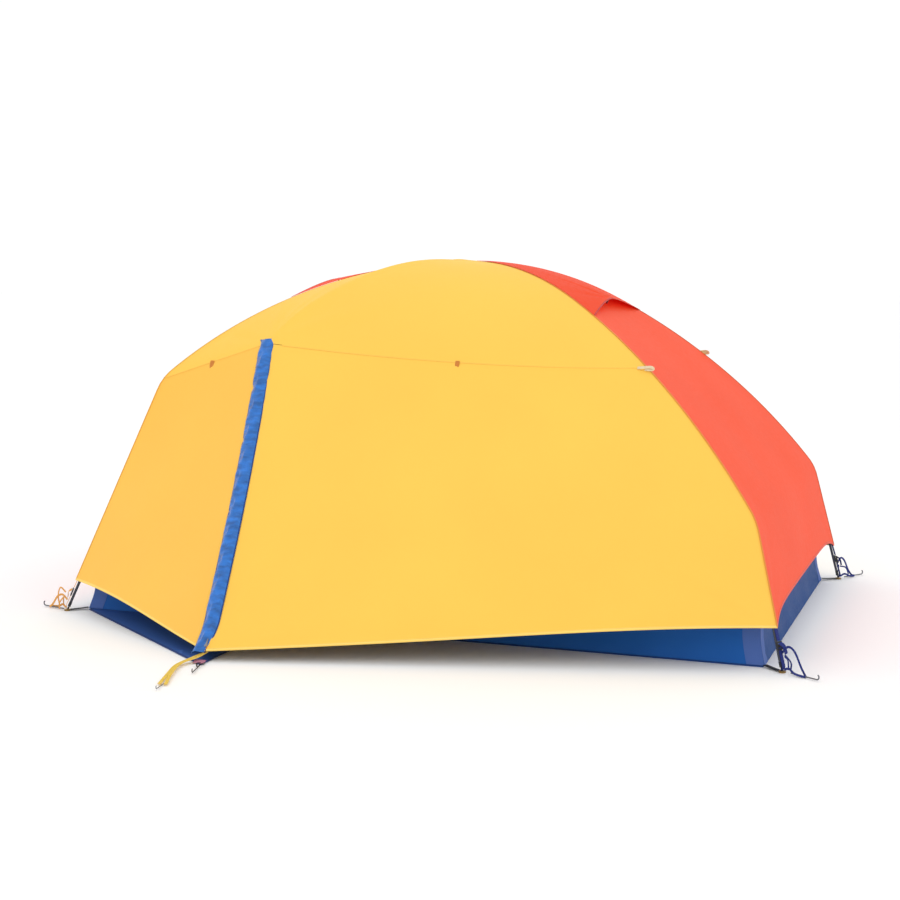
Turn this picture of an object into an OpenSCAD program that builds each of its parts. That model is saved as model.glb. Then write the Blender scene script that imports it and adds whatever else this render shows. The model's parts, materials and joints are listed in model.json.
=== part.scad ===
// Two-person dome tent: two crossing main poles and a brow pole carry a clipped inner tent,
// a rain fly with a vestibule on each long side, and a groundsheet.
// X runs along the tent (foot end +), Y runs across it (front door -), Z is up.
// The origin is on the ground, midway between the four pole feet. All sizes are in millimetres.

/* [Frame] */
// Distance between the pole feet along the tent
feet_length = 2300; // [2250:10:2350]
// Distance between the pole feet across the tent
feet_width = 1376; // [1350:2:1400]
// Height of the top of the rain fly
peak_height = 1127; // [1115:1:1140]
// Height of the pre-bent elbow at the head end
head_elbow_height = 745; // [735:1:755]
// Height of the pre-bent elbow at the foot end
foot_elbow_height = 405; // [395:1:415]
// Angle of the head legs from the ground
head_leg_angle = 66; // [65:0.5:67]
// Angle of the foot legs from the ground
foot_leg_angle = 74; // [73:0.5:75]
// Outer radius of the pole tubes
tube_r = 4.25; // [4:0.05:4.5]
// Radius of the bore of the pole tubes
tube_bore_r = 3.6; // [3.4:0.05:3.7]
// Height of the brow pole's middle above the ground
brow_height = 1084; // [1082:0.5:1085]
// Distance of the brow pole's ends from the middle of the tent
brow_reach = 512; // [505:1:515]

/* [Inner tent] */
// Half the length of the floor
floor_half_length = 1095; // [1085:1:1100]
// Half the width of the floor
floor_half_width = 645; // [640:1:650]
// Height of the waterproof tub walls
tub_height = 165; // [150:1:175]
// Thickness of the inner tent's fabric solids
canopy_t = 1.2; // [1:0.1:1.5]
// Width of the inner doors
inner_door_width = 620; // [560:10:640]
// Height of the inner doors along the wall
inner_door_height = 580; // [540:10:600]

/* [Rain fly] */
// Thickness of the fly's fabric solids
fly_t = 1.5; // [1.2:0.1:1.8]
// Distance from the pole's centre line to the fly's outer surface
fly_gap = 14; // [13.5:0.1:15]
// Distance of the vestibule's tip from the middle of the tent
vestibule_reach = 1120; // [1100:5:1140]
// Distance of the vestibule's tip from the middle, towards the head
vestibule_offset = 410; // [400:5:420]
// Height of the fly's hem at the foot corners
foot_hem_height = 122; // [115:1:130]
// Height of the fly's hem at the head corners
head_hem_height = 100; // [95:1:110]
// Rise of the end panels' hems between the corners
hem_rise = 36; // [20:1:40]
// How far the middle of the head end's vent hood is propped up
head_vent_lift = 42; // [34:1:46]
// How far the middle of the foot end's vent hood is propped up
foot_vent_lift = 26; // [25:1:32]
// Width of the storm flap over each zip
flap_width = 46; // [42:1:50]

/* [Hardware] */
// Radius of a peg's shaft
peg_r = 2; // [1.8:0.1:2.5]
// Length of a peg
peg_length = 95; // [90:5:105]
// Distance of the foot end's pegs' heads from their pole feet
peg_reach = 125; // [120:1:130]
// Width of the corner webbing
webbing_width = 16; // [14:1:18]
// Length of the tape that holds down each vestibule's tip
tape_length = 280; // [250:10:300]

/* [Hidden] */

$fn = 48;
gap = 0.5;                 // clearance between parts that only rest near each other
hair = 0.02;               // clearance between stretches of one tube
bend_fn = 720;             // steps in a full turn of a pole's bend
seam_gap = 2;              // clearance between neighbouring fly panels
crown_waist = 20;          // half width of the yellow roof where it crosses the crown
pole_drop = 10;            // how far pole B passes below pole A at the crown
elbow_r = 150;             // bend radius of the pre-bent elbows
crown_height = peak_height - fly_gap;
foot_r = norm([feet_length, feet_width]) / 2;
spread = atan2(feet_width, feet_length);

// Slope of the poles where the crown arc meets the shoulder arc, and where that meets the elbow
head_slopes = [23, 39, head_leg_angle];
foot_slopes = [27, 50, foot_leg_angle];

// ---- Small helpers -------------------------------------------------------------------------

function unit(v) = v / norm(v);
function lerp(a, b, t) = a + (b - a) * t;
function toward(a, b, distance) = a + unit(b - a) * distance;
function flip_y(p) = [p[0], -p[1], p[2]];
function arc_length(arc) = arc[1] * (arc[3] - arc[2]) * PI / 180;

// Normal of a grid of points at row i, column j, from its neighbours
function grid_normal(g, i, j) =
    let (rows = len(g) - 1, cols = len(g[0]) - 1)
    unit(cross(g[min(i + 1, rows)][j] - g[max(i - 1, 0)][j],
               g[i][min(j + 1, cols)] - g[i][max(j - 1, 0)]));

// A closed sheet under a grid of points: the grid is one face and the other is t along its normal
module sheet(g, t) {
    rows = len(g);
    cols = len(g[0]);
    n = rows * cols;
    points = concat(
        [for (i = [0 : rows - 1]) for (j = [0 : cols - 1]) g[i][j]],
        [for (i = [0 : rows - 1]) for (j = [0 : cols - 1]) g[i][j] + t * grid_normal(g, i, j)]);
    function at(i, j) = i * cols + j;
    rim = concat(
        [for (j = [0 : cols - 2]) [at(0, j), at(0, j + 1)]],
        [for (i = [0 : rows - 2]) [at(i, cols - 1), at(i + 1, cols - 1)]],
        [for (j = [cols - 1 : -1 : 1]) [at(rows - 1, j), at(rows - 1, j - 1)]],
        [for (i = [rows - 1 : -1 : 1]) [at(i, 0), at(i - 1, 0)]]);
    faces = concat(
        [for (i = [0 : rows - 2]) for (j = [0 : cols - 2]) [at(i, j), at(i + 1, j), at(i + 1, j + 1)]],
        [for (i = [0 : rows - 2]) for (j = [0 : cols - 2]) [at(i, j), at(i + 1, j + 1), at(i, j + 1)]],
        [for (i = [0 : rows - 2]) for (j = [0 : cols - 2])
            [n + at(i, j), n + at(i + 1, j + 1), n + at(i + 1, j)]],
        [for (i = [0 : rows - 2]) for (j = [0 : cols - 2])
            [n + at(i, j), n + at(i, j + 1), n + at(i + 1, j + 1)]],
        [for (e = rim) [e[0], e[1], n + e[1]]],
        [for (e = rim) [e[0], n + e[1], n + e[0]]]);
    polyhedron(points, faces);
}

// A flat convex panel through corner points, thickened by t along its outward normal
module flat_panel(corners, t) {
    count = len(corners);
    n = unit(cross(corners[1] - corners[0], corners[2] - corners[1]));
    polyhedron(
        concat(corners, [for (p = corners) p + t * n]),
        concat(
            [[for (i = [0 : count - 1]) i]],
            [[for (i = [count - 1 : -1 : 0]) count + i]],
            [for (i = [0 : count - 1]) [(i + 1) % count, i, count + i, count + (i + 1) % count]]));
}

// Puts children that stand along +Z at p so that they point at q
module aim(p, q) {
    d = q - p;
    translate(p)
        rotate([0, acos(d[2] / norm(d)), atan2(d[1], d[0])])
            children();
}

// A flat band from p to q, turned about its own length
module band(p, q, width, t, turn = 0) {
    aim(p, q)
        rotate([0, 0, turn])
            translate([-t / 2, -width / 2, 0])
                cube([t, width, norm(q - p)]);
}

module stadium(length, width) {
    union() {
        translate([0, -width / 2])
            square([length, width]);
        circle(d = width);
        translate([length, 0])
            circle(d = width);
    }
}

// A sewn loop of webbing: a long flat ring that starts at the origin and runs along +X
module loop(length, width, band_width, t) {
    linear_extrude(t)
        translate([width / 2, 0])
            difference() {
                stadium(length - width, width);
                stadium(length - width, width - 2 * band_width);
            }
}

module mirror_back(back) {
    mirror([0, back ? 1 : 0, 0])
        children();
}

module all_corners() {
    for (head = [0, 1])
        for (back = [0, 1])
            mirror([head, 0, 0])
                mirror([0, back, 0])
                    children();
}

// ---- Pole line: crown arc, shoulder arc, elbow arc and straight leg, in a plane of (r, z) ------
// An arc is [centre, radius, start slope, end slope], with slopes measured from level.

function pole_line(slopes, elbow_height, crown) =
    let (a2 = slopes[0], a1 = slopes[1], leg = slopes[2])
    let (corner = [foot_r - elbow_height / tan(leg), elbow_height])
    let (reach = elbow_r * tan((leg - a1) / 2))
    let (shoulder_end = corner + reach * [-cos(a1), sin(a1)])
    let (elbow_end = corner + reach * [cos(leg), -sin(leg)])
    let (m = [[sin(a1) - sin(a2), sin(a2)], [cos(a2) - cos(a1), 1 - cos(a2)]])
    let (goal = [shoulder_end[0], crown - shoulder_end[1]])
    let (det = m[0][0] * m[1][1] - m[0][1] * m[1][0])
    let (shoulder_r = (goal[0] * m[1][1] - m[0][1] * goal[1]) / det)
    let (crown_r = (m[0][0] * goal[1] - m[1][0] * goal[0]) / det)
    let (crown_c = [0, crown - crown_r])
    let (shoulder_c = crown_c + (crown_r - shoulder_r) * [sin(a2), cos(a2)])
    let (elbow_c = shoulder_end - elbow_r * [sin(a1), cos(a1)])
    [[crown_c, crown_r, 0, a2], [shoulder_c, shoulder_r, a2, a1], [elbow_c, elbow_r, a1, leg],
     elbow_end];

function line_start(line, k) = k == 0 ? 0 : line_start(line, k - 1) + arc_length(line[k - 1]);
function line_length(line) = line_start(line, 3) + norm([foot_r, 0] - line[3]);
function leg_slope(line) = line[2][3];

// Which stretch of the line (0 to 3) holds the distance d from the crown
function stretch(line, d) =
    d < line_start(line, 1) ? 0 : d < line_start(line, 2) ? 1 : d < line_start(line, 3) ? 2 : 3;
function slope_at(line, d) =
    let (k = stretch(line, d))
    k == 3 ? leg_slope(line)
           : line[k][2] + (d - line_start(line, k)) / line[k][1] * 180 / PI;
// Point at distance d along the line, moved outwards by off
function line_at(line, d, off = 0) =
    let (k = stretch(line, d), a = slope_at(line, d))
    k == 3 ? line[3] + (d - line_start(line, 3)) * [cos(a), -sin(a)] + off * [sin(a), cos(a)]
           : line[k][0] + (line[k][1] + off) * [sin(a), cos(a)];
// Distance along the leg where the moved line is at height z
function leg_distance(line, z, off) =
    line_length(line) - (z - off * cos(leg_slope(line))) / sin(leg_slope(line));
// Distance along the shoulder where the moved line is at height z
function shoulder_distance(line, z, off) =
    let (arc = line[1])
    line_start(line, 1) + (acos((z - arc[0][1]) / (arc[1] + off)) - arc[2]) * PI / 180 * arc[1];

// A point of the (r, z) plane, in the corner that side and front choose (-1 or 1)
function in_corner(p, end, side) = [end * p[0] * cos(spread), side * p[0] * sin(spread), p[1]];

head_line = pole_line(head_slopes, head_elbow_height, crown_height);
foot_line = pole_line(foot_slopes, foot_elbow_height, crown_height);
head_line_b = pole_line(head_slopes, head_elbow_height, crown_height - pole_drop);
foot_line_b = pole_line(foot_slopes, foot_elbow_height, crown_height - pole_drop);

tip_length = 30;           // length of a pole tip
ferrule_length = 50;       // length of the sleeve where two tubes join

// Distances from the crown at which one tube ends and the next begins
function head_joints(line) = [
    line_start(line, 1),
    line_start(line, 2),
    line_start(line, 3) + (line_length(line) - line_start(line, 3)) / 2];
function foot_joints(line) = [
    line_start(line, 1),
    (line_start(line, 1) + line_start(line, 2)) / 2,
    line_start(line, 2)];

// A round tube along the pole line between two distances from the crown
module line_tube(line, from, to, outer, inner) {
    for (k = [0 : 3]) {
        start = max(from, line_start(line, k)) + hair;
        end = min(to, k == 3 ? line_length(line) : line_start(line, k + 1)) - hair;
        if (end - start > hair && k < 3) {
            arc = line[k];
            a0 = arc[2] + (start - line_start(line, k)) / arc[1] * 180 / PI;
            a1 = arc[2] + (end - line_start(line, k)) / arc[1] * 180 / PI;
            translate(arc[0])
                rotate([0, 0, 90 - a1])
                    rotate_extrude(angle = a1 - a0, $fn = bend_fn)
                        translate([arc[1], 0])
                            ring(outer, inner);
        }
        if (end - start > hair && k == 3) {
            translate(line_at(line, start))
                rotate([0, 0, -leg_slope(line)])
                    rotate([0, 90, 0])
                        linear_extrude(end - start)
                            ring(outer, inner);
        }
    }
}

module ring(outer, inner) {
    difference() {
        circle(r = outer, $fn = 32);
        if (inner > 0)
            circle(r = inner, $fn = 32);
    }
}

// Children drawn in the (r, z) plane stand up in the vertical plane of one corner
module stand(end, side) {
    rotate([0, 0, atan2(side * feet_width, end * feet_length)])
        rotate([90, 0, 0])
            children();
}

// ---- Inner tent outline -------------------------------------------------------------------------

brow_line_height = 800;    // where the door walls end and the roof begins
tub_top_x = floor_half_length - 10;
tub_top_y = floor_half_width - 13;
wall_top_y = 420;          // half width of the inner tent at the brow line
crown_flat = [150, 80];    // half length and half width of the flat top
canopy_top = 1070;
head_shoulder = [-840, 735];
foot_bend = [1005, 395];
foot_shoulder = [600, 800];

wall_slope = atan2(brow_line_height - tub_height, tub_top_y - wall_top_y);
function wall_y(z) = lerp(tub_top_y, wall_top_y, (z - tub_height) / (brow_line_height - tub_height));
function up_wall(z) = (z - tub_height) / sin(wall_slope);
// Where the head roof reaches the brow line
head_roof_x = lerp(head_shoulder[0], -crown_flat[0],
    (brow_line_height - head_shoulder[1]) / (canopy_top - head_shoulder[1]));

// A plane of the canopy through two points of a profile, as [outward normal, distance]
function outward(n, p) = n * p < 0 ? [-n, -n * p] : [n, n * p];
function side_plane(a, b) = outward(unit([b[1] - a[1], 0, a[0] - b[0]]), [a[0], 0, a[1]]);
function front_plane(a, b) = outward(unit([0, a[1] - b[1], b[0] - a[0]]), [0, a[0], a[1]]);
canopy_planes = [
    side_plane([-tub_top_x, tub_height], head_shoulder),
    side_plane(head_shoulder, [-crown_flat[0], canopy_top]),
    side_plane([crown_flat[0], canopy_top], foot_shoulder),
    side_plane(foot_shoulder, foot_bend),
    side_plane(foot_bend, [tub_top_x, tub_height]),
    front_plane([-tub_top_y, tub_height], [-wall_top_y, brow_line_height]),
    front_plane([-wall_top_y, brow_line_height], [-crown_flat[1], canopy_top])
];
// How far a point outside the canopy is from it in a direction: the last plane that it meets
function reach_canopy(p, dir) =
    max([for (c = canopy_planes) if (c[0] * dir < -0.05) (c[0] * p - c[1]) / -(c[0] * dir)]);

// ---- Fly outline ---------------------------------------------------------------------------------

brow_x = 140;              // the brow pole stands this far to the foot side of the crown
brow_r = (brow_reach * brow_reach + (brow_height - 812) * (brow_height - 812))
    / (2 * (brow_height - 812));
brow_half_angle = asin(brow_reach / brow_r);

apex = [-vestibule_offset, -vestibule_reach, 30];
zip_top = [-490, -540, 872];
brow_tab = [140, -530, 826];
foot_seam_height = 815;    // where the brow seam reaches the foot pole

// Fly surface over a pole: end is -1 at the head and 1 at the foot; the crown keeps a narrow waist
function seam(end, d) =
    let (p = in_corner(line_at(end < 0 ? head_line : foot_line, d, fly_gap), end, -1))
    [end * norm([p[0], crown_waist]), p[1], p[2]];

// Evenly spaced distances along a line, with three more at the start, middle and end of its elbow
elbow_room = 45;           // the even distances stay this far from those three
function stations(line, from, to, steps) =
    let (elbow = line_start(line, 2))
    let (elbow_end = line_start(line, 3))
    let (bend = [for (d = [elbow, (elbow + elbow_end) / 2, elbow_end]) if (d > from + 5 && d < to - 5) d])
    let (even = [for (i = [0 : steps]) lerp(from, to, i / steps)])
    let (apart = [for (d = even) if (d == from || d == to || clear_of(bend, d)) d])
    let (low = [for (d = apart) if (len(bend) == 0 || d < bend[0]) d])
    let (high = [for (d = apart) if (len(bend) > 0 && d > bend[0]) d])
    concat(low, bend, high);
function clear_of(places, d) = len(places) == 0 || min([for (b = places) abs(b - d)]) > elbow_room;

head_seam_end = line_start(head_line, 2) + arc_length(head_line[2]) / 2;
foot_seam_end = shoulder_distance(foot_line, foot_seam_height, fly_gap);
head_hem = leg_distance(head_line, head_hem_height, fly_gap);
foot_hem = leg_distance(foot_line, foot_hem_height, fly_gap);
head_knee = seam(-1, head_seam_end);
foot_seam = seam(1, foot_seam_end);
head_corner = seam(-1, head_hem);
foot_corner = seam(1, foot_hem);

// The brow seam from the head knee over the zip's top and the brow tab to the foot pole
zip_share = 0.27;          // share of the seam that lies on the head side of the zip
function brow_curve(w) =
    let (middle = 2 * brow_tab - (zip_top + foot_seam) / 2)
    (1 - w) * (1 - w) * zip_top + 2 * w * (1 - w) * middle + w * w * foot_seam;
function brow_seam(v) = v < zip_share ? lerp(head_knee, zip_top, v / zip_share)
                                      : brow_curve((v - zip_share) / (1 - zip_share));

// Door plane: the fold runs from the zip's top to the foot corner, and the door hangs below it
fold_gap = 6;              // clearance from the fold line to the panels on each side of it
zip_gap = 4;               // clearance from the zip's middle to the panels on each side of it
fold_dir = unit(foot_corner - zip_top);
fold_length = norm(foot_corner - zip_top);
door_out = unit(cross(apex - zip_top, foot_corner - zip_top));
door_down = cross(fold_dir, door_out) * sign(cross(fold_dir, door_out) * (apex - zip_top));
zip_dir = unit(apex - zip_top);
zip_length = norm(apex - zip_top);
zip_side = unit(cross(door_out, zip_dir)) * sign(cross(door_out, zip_dir) * fold_dir);
head_panel_out = unit(cross(zip_top - apex, head_corner - apex));
head_side = cross(head_panel_out, zip_dir) * sign(cross(head_panel_out, zip_dir) * [-1, 0, 0]);
angle_at_top = acos(fold_dir * zip_dir);
angle_at_corner = acos(-fold_dir * unit(apex - foot_corner));
function door_point(along, down) = zip_top + along * fold_dir + down * door_down;

// ---- Inner tent ------------------------------------------------------------------------------------

sheet_t = 1.5;             // thickness of the groundsheet's and the floor's solids
floor_z = 2;
ground_end = 1092;         // the groundsheet's ends are just inside the tub's
ground_side = 652;
ground_point = [-403, 1164];

module groundsheet() {
    half = [[-ground_end, ground_side], ground_point, [ground_point[0] + 3, ground_side],
            [ground_end, ground_side]];
    color("midnightblue")
        linear_extrude(sheet_t)
            polygon(concat(half, [for (i = [3 : -1 : 0]) [half[i][0], -half[i][1]]]));
}

module floor() {
    color("navy")
        translate([0, 0, floor_z])
            linear_extrude(sheet_t)
                square([2 * floor_half_length, 2 * floor_half_width], center = true);
}

module tub_walls() {
    z0 = floor_z + sheet_t;
    color("steelblue") {
        for (back = [0, 1])
            mirror([0, back, 0])
                flat_panel([[-floor_half_length, -floor_half_width, z0],
                            [floor_half_length, -floor_half_width, z0],
                            [tub_top_x, -tub_top_y, tub_height],
                            [-tub_top_x, -tub_top_y, tub_height]], canopy_t);
        for (head = [0, 1])
            mirror([head, 0, 0])
                flat_panel([[floor_half_length, -floor_half_width, z0],
                            [floor_half_length, floor_half_width, z0],
                            [tub_top_x, tub_top_y, tub_height],
                            [tub_top_x, -tub_top_y, tub_height]], canopy_t);
    }
}

// Children drawn on the front wall: X along the tent, Y up the wall's slope, Z outwards
module on_wall() {
    translate([0, -tub_top_y, tub_height])
        rotate([wall_slope, 0, 0])
            children();
}

door_hinge_x = 330;        // the inner doors hang on the foot side
door_sill = 15;            // height of the door's bottom edge above the tub, along the wall
door_play = 4;             // clearance round an inner door

// Outline of the inner door, grown by g: square at the hinge's foot, round at the free side's top
module inner_door_outline(g) {
    r = 260;
    left = door_hinge_x - inner_door_width;
    top = door_sill + inner_door_height;
    union() {
        translate([left - g, door_sill - g])
            square([inner_door_width + 2 * g, inner_door_height - r + 2 * g]);
        translate([left + r, door_sill])
            square([inner_door_width - r + g, inner_door_height + g]);
        translate([left + r, top - r])
            circle(r = r + g, $fn = 96);
    }
}

module canopy_door_wall() {
    color("gainsboro")
        on_wall()
            linear_extrude(canopy_t)
                difference() {
                    polygon([[-tub_top_x, 0], [tub_top_x, 0],
                             [foot_bend[0], up_wall(foot_bend[1])],
                             [foot_shoulder[0], up_wall(foot_shoulder[1])],
                             [head_roof_x, up_wall(brow_line_height)],
                             [head_shoulder[0], up_wall(head_shoulder[1])]]);
                    inner_door_outline(door_play);
                }
}

module inner_door() {
    color("lightgray")
        on_wall()
            linear_extrude(canopy_t)
                inner_door_outline(0);
}

module canopy_front_wall() {
    canopy_door_wall();
}

module canopy_back_wall() {
    mirror_back(true)
        canopy_door_wall();
}

module front_inner_door() {
    inner_door();
}

module back_inner_door() {
    mirror_back(true)
        inner_door();
}

// Panel across the tent between two points [x, z, half width] of the side profile, facing outwards
module cross_panel(low, high) {
    corners = [[low[0], -low[2], low[1]], [low[0], low[2], low[1]],
               [high[0], high[2], high[1]], [high[0], -high[2], high[1]]];
    flat_panel(low[0] > 0 ? corners : [for (i = [3 : -1 : 0]) corners[i]], canopy_t);
}

tub_top = [tub_top_x, tub_height, tub_top_y];
head_high = [head_shoulder[0], head_shoulder[1], wall_y(head_shoulder[1])];
foot_mid = [foot_bend[0], foot_bend[1], wall_y(foot_bend[1])];
foot_high = [foot_shoulder[0], foot_shoulder[1], wall_top_y];

module canopy_head_wall() {
    color("gainsboro")
        cross_panel([-tub_top_x, tub_height, tub_top_y], head_high);
}

module canopy_foot_wall() {
    color("gainsboro") {
        cross_panel(tub_top, foot_mid);
        cross_panel(foot_mid, foot_high);
    }
}

module canopy_roof() {
    head_edge = [head_roof_x, brow_line_height, wall_top_y];
    color("whitesmoke") {
        cross_panel(foot_high, [crown_flat[0], canopy_top, crown_flat[1]]);
        cross_panel(head_high, head_edge);
        cross_panel(head_edge, [-crown_flat[0], canopy_top, crown_flat[1]]);
        for (back = [0, 1])
            mirror([0, back, 0])
                flat_panel([[head_roof_x, -wall_top_y, brow_line_height],
                            [foot_shoulder[0], -wall_top_y, brow_line_height],
                            [crown_flat[0], -crown_flat[1], canopy_top],
                            [-crown_flat[0], -crown_flat[1], canopy_top]], canopy_t);
        translate([0, 0, canopy_top])
            linear_extrude(canopy_t)
                square(2 * crown_flat, center = true);
    }
}

pocket_size = [260, 170];
pocket_gap = 6;            // a pocket stands this far off the wall that it is sewn to

// Two stuff pockets on the inside of the head wall, just above the tub
module mesh_pockets() {
    plane = canopy_planes[0];
    up = unit([head_shoulder[0] + tub_top_x, 0, head_shoulder[1] - tub_height]);
    base = [-tub_top_x, 0, tub_height] + 40 * up - pocket_gap * plane[0];
    color("dimgray")
        for (y = [-300, 300])
            flat_panel([base + [0, y + pocket_size[0] / 2, 0], base + [0, y - pocket_size[0] / 2, 0],
                        base + [0, y - pocket_size[0] / 2, 0] + pocket_size[1] * up,
                        base + [0, y + pocket_size[0] / 2, 0] + pocket_size[1] * up], canopy_t);
}

module lantern_loop() {
    loop_r = 12;
    cord_r = 1.5;
    color("orange")
        translate([0, 0, canopy_top - gap - loop_r - cord_r])
            rotate([90, 0, 0])
                rotate_extrude()
                    translate([loop_r, 0])
                        circle(r = cord_r);
}

// ---- Poles -----------------------------------------------------------------------------------------

// Pole A runs from the front foot corner to the back head corner, and pole B across it
module pole_halves(pole) {
    side = pole == "a" ? -1 : 1;
    stand(1, side)
        children(0);
    stand(-1, -side)
        children(1);
}

module pole_tubes(pole) {
    foot = pole == "a" ? foot_line : foot_line_b;
    head = pole == "a" ? head_line : head_line_b;
    color("darkgray")
        pole_halves(pole) {
            tube_run(foot, foot_joints(foot));
            tube_run(head, head_joints(head));
        }
}

// The tubes of one half pole, each ending a hair short of the next
module tube_run(line, joints) {
    ends = concat([0], joints, [line_length(line) - tip_length]);
    for (i = [0 : len(ends) - 2])
        line_tube(line, ends[i], ends[i + 1] - gap, tube_r, tube_bore_r);
}

module pole_ferrules(pole) {
    foot = pole == "a" ? foot_line : foot_line_b;
    head = pole == "a" ? head_line : head_line_b;
    color("silver")
        pole_halves(pole) {
            ferrules(foot, foot_joints(foot));
            ferrules(head, head_joints(head));
        }
}

module ferrules(line, joints) {
    for (d = joints)
        line_tube(line, d - ferrule_length / 2, d + ferrule_length / 2, tube_r + 0.75, tube_r + 0.05);
}

module pole_shock_cord(pole) {
    cord_r = 1.5;
    foot = pole == "a" ? foot_line : foot_line_b;
    head = pole == "a" ? head_line : head_line_b;
    color("black")
        pole_halves(pole) {
            line_tube(foot, 0, line_length(foot) - tip_length, cord_r, 0);
            line_tube(head, 0, line_length(head) - tip_length, cord_r, 0);
        }
}

module pole_a_tubes() {
    pole_tubes("a");
}

module pole_b_tubes() {
    pole_tubes("b");
}

module pole_a_ferrules() {
    pole_ferrules("a");
}

module pole_b_ferrules() {
    pole_ferrules("b");
}

module pole_a_shock_cord() {
    pole_shock_cord("a");
}

module pole_b_shock_cord() {
    pole_shock_cord("b");
}

tip_pin_r = 2.5;
tip_end = 2.5;             // the pin stops this far short of the ground along the leg

// A tip closes each tube end, and its pin stands in the foot's grommet
module pole_tips() {
    color("black")
        for (side = [-1, 1]) {
            stand(1, side)
                tip(side < 0 ? foot_line : foot_line_b);
            stand(-1, side)
                tip(side < 0 ? head_line_b : head_line);
        }
}

module tip(line) {
    end = line_length(line);
    line_tube(line, end - tip_length, end - tip_length / 2, tube_r + 0.5, 0);
    line_tube(line, end - tip_length / 2, end - tip_end, tip_pin_r, 0);
}

crown_clip_r = 17;

// Moulded puck that holds the two poles where they cross
module crown_clip() {
    bore_r = tube_r + 0.35;
    low = crown_height - pole_drop - tube_r - 3;
    color("dimgray")
        difference() {
            translate([0, 0, low])
                cylinder(h = peak_height - fly_t - 1 - low, r = crown_clip_r);
            for (pole = [[-1, crown_height], [1, crown_height - pole_drop]])
                translate([0, 0, pole[1]])
                    rotate([0, 90, pole[0] * spread])
                        cylinder(h = 3 * crown_clip_r, r = bore_r, center = true);
        }
}

module brow_arc(half_angle, outer, inner) {
    translate([brow_x, 0, brow_height - brow_r])
        rotate([90, 0, 90])
            rotate([0, 0, 90 - half_angle])
                rotate_extrude(angle = 2 * half_angle, $fn = bend_fn)
                    translate([brow_r, 0])
                        ring(outer, inner);
}

brow_tip_angle = 1.5;      // arc length of a brow pole's tip, in degrees

module brow_pole() {
    color("darkgray")
        brow_arc(brow_half_angle - brow_tip_angle, tube_r, tube_bore_r);
}

module brow_pole_tips() {
    color("black")
        for (back = [0, 1])
            mirror([0, back, 0])
                translate([brow_x, 0, brow_height - brow_r])
                    rotate([90, 0, 90])
                        rotate([0, 0, 90.01 + brow_half_angle - brow_tip_angle])
                            rotate_extrude(angle = brow_tip_angle, $fn = bend_fn)
                                translate([brow_r, 0])
                                    circle(r = tube_r + 0.5);
}

// Webbing tabs that tie the inner tent's brow line to the brow pole's tips
module brow_sleeve_tabs() {
    color("gray")
        for (back = [0, 1])
            mirror([0, back, 0])
                band([brow_x, -wall_top_y - 3, brow_line_height + 2],
                     [brow_x, -brow_reach + 6, brow_line_height + 2], webbing_width, 1.2, 0);
}

// Distances from the crown at which the canopy hangs from clips
head_clips = [240, 720, 880, 1450];
foot_clips = [240, 620, 1180, 1650];
clip_length = 10;
strap_end = 10;            // the straps end this far above the canopy, clear of its slopes
clip_r = tube_r + 2.4;

module canopy_clips() {
    color("black")
        for (side = [-1, 1]) {
            clip_row(side < 0 ? foot_line : foot_line_b, foot_clips, 1, side);
            clip_row(side < 0 ? head_line_b : head_line, head_clips, -1, side);
        }
}

module clip_row(line, distances, end, side) {
    for (d = distances)
        clip(line, d, end, side);
}

// A clip snapped round the pole, with a short strap down to the canopy
module clip(line, d, end, side) {
    a = slope_at(line, d);
    eye = in_corner(line_at(line, d, -clip_r), end, side);
    inward = in_corner([-sin(a), -cos(a)], end, side);
    stand(end, side)
        line_tube(line, d - clip_length / 2, d + clip_length / 2, clip_r, tube_r + 0.15);
    drop = reach_canopy([eye[0], -abs(eye[1]), eye[2]], [inward[0], -side * inward[1], inward[2]]);
    band(eye, eye + (drop - canopy_t - strap_end) * inward, clip_length, 1.5, 0);
}

// ---- Rain fly ----------------------------------------------------------------------------------------

// Row of the roof at share t of the way from the crown (0) to the brow seam (1), on the front side
function roof_row(t) = [
    for (v = [0 : 1 / 12 : 1.001])
        let (flat = lerp(seam(-1, t * head_seam_end), seam(1, t * foot_seam_end), v))
        let (flat_end = lerp(head_knee, foot_seam, v))
        flat + t * (brow_seam(v) - flat_end)];

module fly_roof() {
    steps = [for (d = stations(head_line, 0, head_seam_end, 9)) d / head_seam_end * 0.997];
    front = [for (t = steps) roof_row(t)];
    back = [for (i = [len(steps) - 1 : -1 : 1]) [for (p = front[i]) flip_y(p)]];
    color("gold")
        sheet(concat(back, front), -fly_t);
}

// End panel between the two poles of one end: distances from low edge to high edge, per column
across = [-1, -0.93, -0.8, -0.5, 0, 0.5, 0.8, 0.93, 1];
function end_point(end, d, v, off = 0) =
    let (edge = seam(end, d))
    let (out = slope_at(end < 0 ? head_line : foot_line, d))
    [edge[0] + end * off * sin(out), -v * (abs(edge[1]) - seam_gap), edge[2] + off * cos(out)];

// The hem curves up between the corners, and only the lowest rows follow it
module end_panel(end, top, hem) {
    line = end < 0 ? head_line : foot_line;
    color("tomato")
        sheet([for (d = stations(line, top, hem, 11))
                   [for (v = across)
                       end_point(end, d - hem_rise * (1 - pow(abs(v), 8)) * max(0, (d - hem) / 300 + 1),
                                 end * v)]],
              -fly_t);
}

vent_lip = 610;            // distance of the vent hoods' lips from the crown, along the poles
lip_rise = 45;             // how much nearer the crown the middle of a lip is
hood_top = 35;             // distance of the hoods' tops from the crown
vent_overlap = 70;         // how far the hoods reach over the end panels
hood_gap = 2.5;            // the hoods lie this far above the end panels at their sides

// Height of a hood above the end panel's surface, at a share of the way from its top to its lip
function hood_height(end, share, v) =
    hood_gap + (end < 0 ? head_vent_lift : foot_vent_lift) * pow(share, 3) * (1 - v * v);

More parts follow.
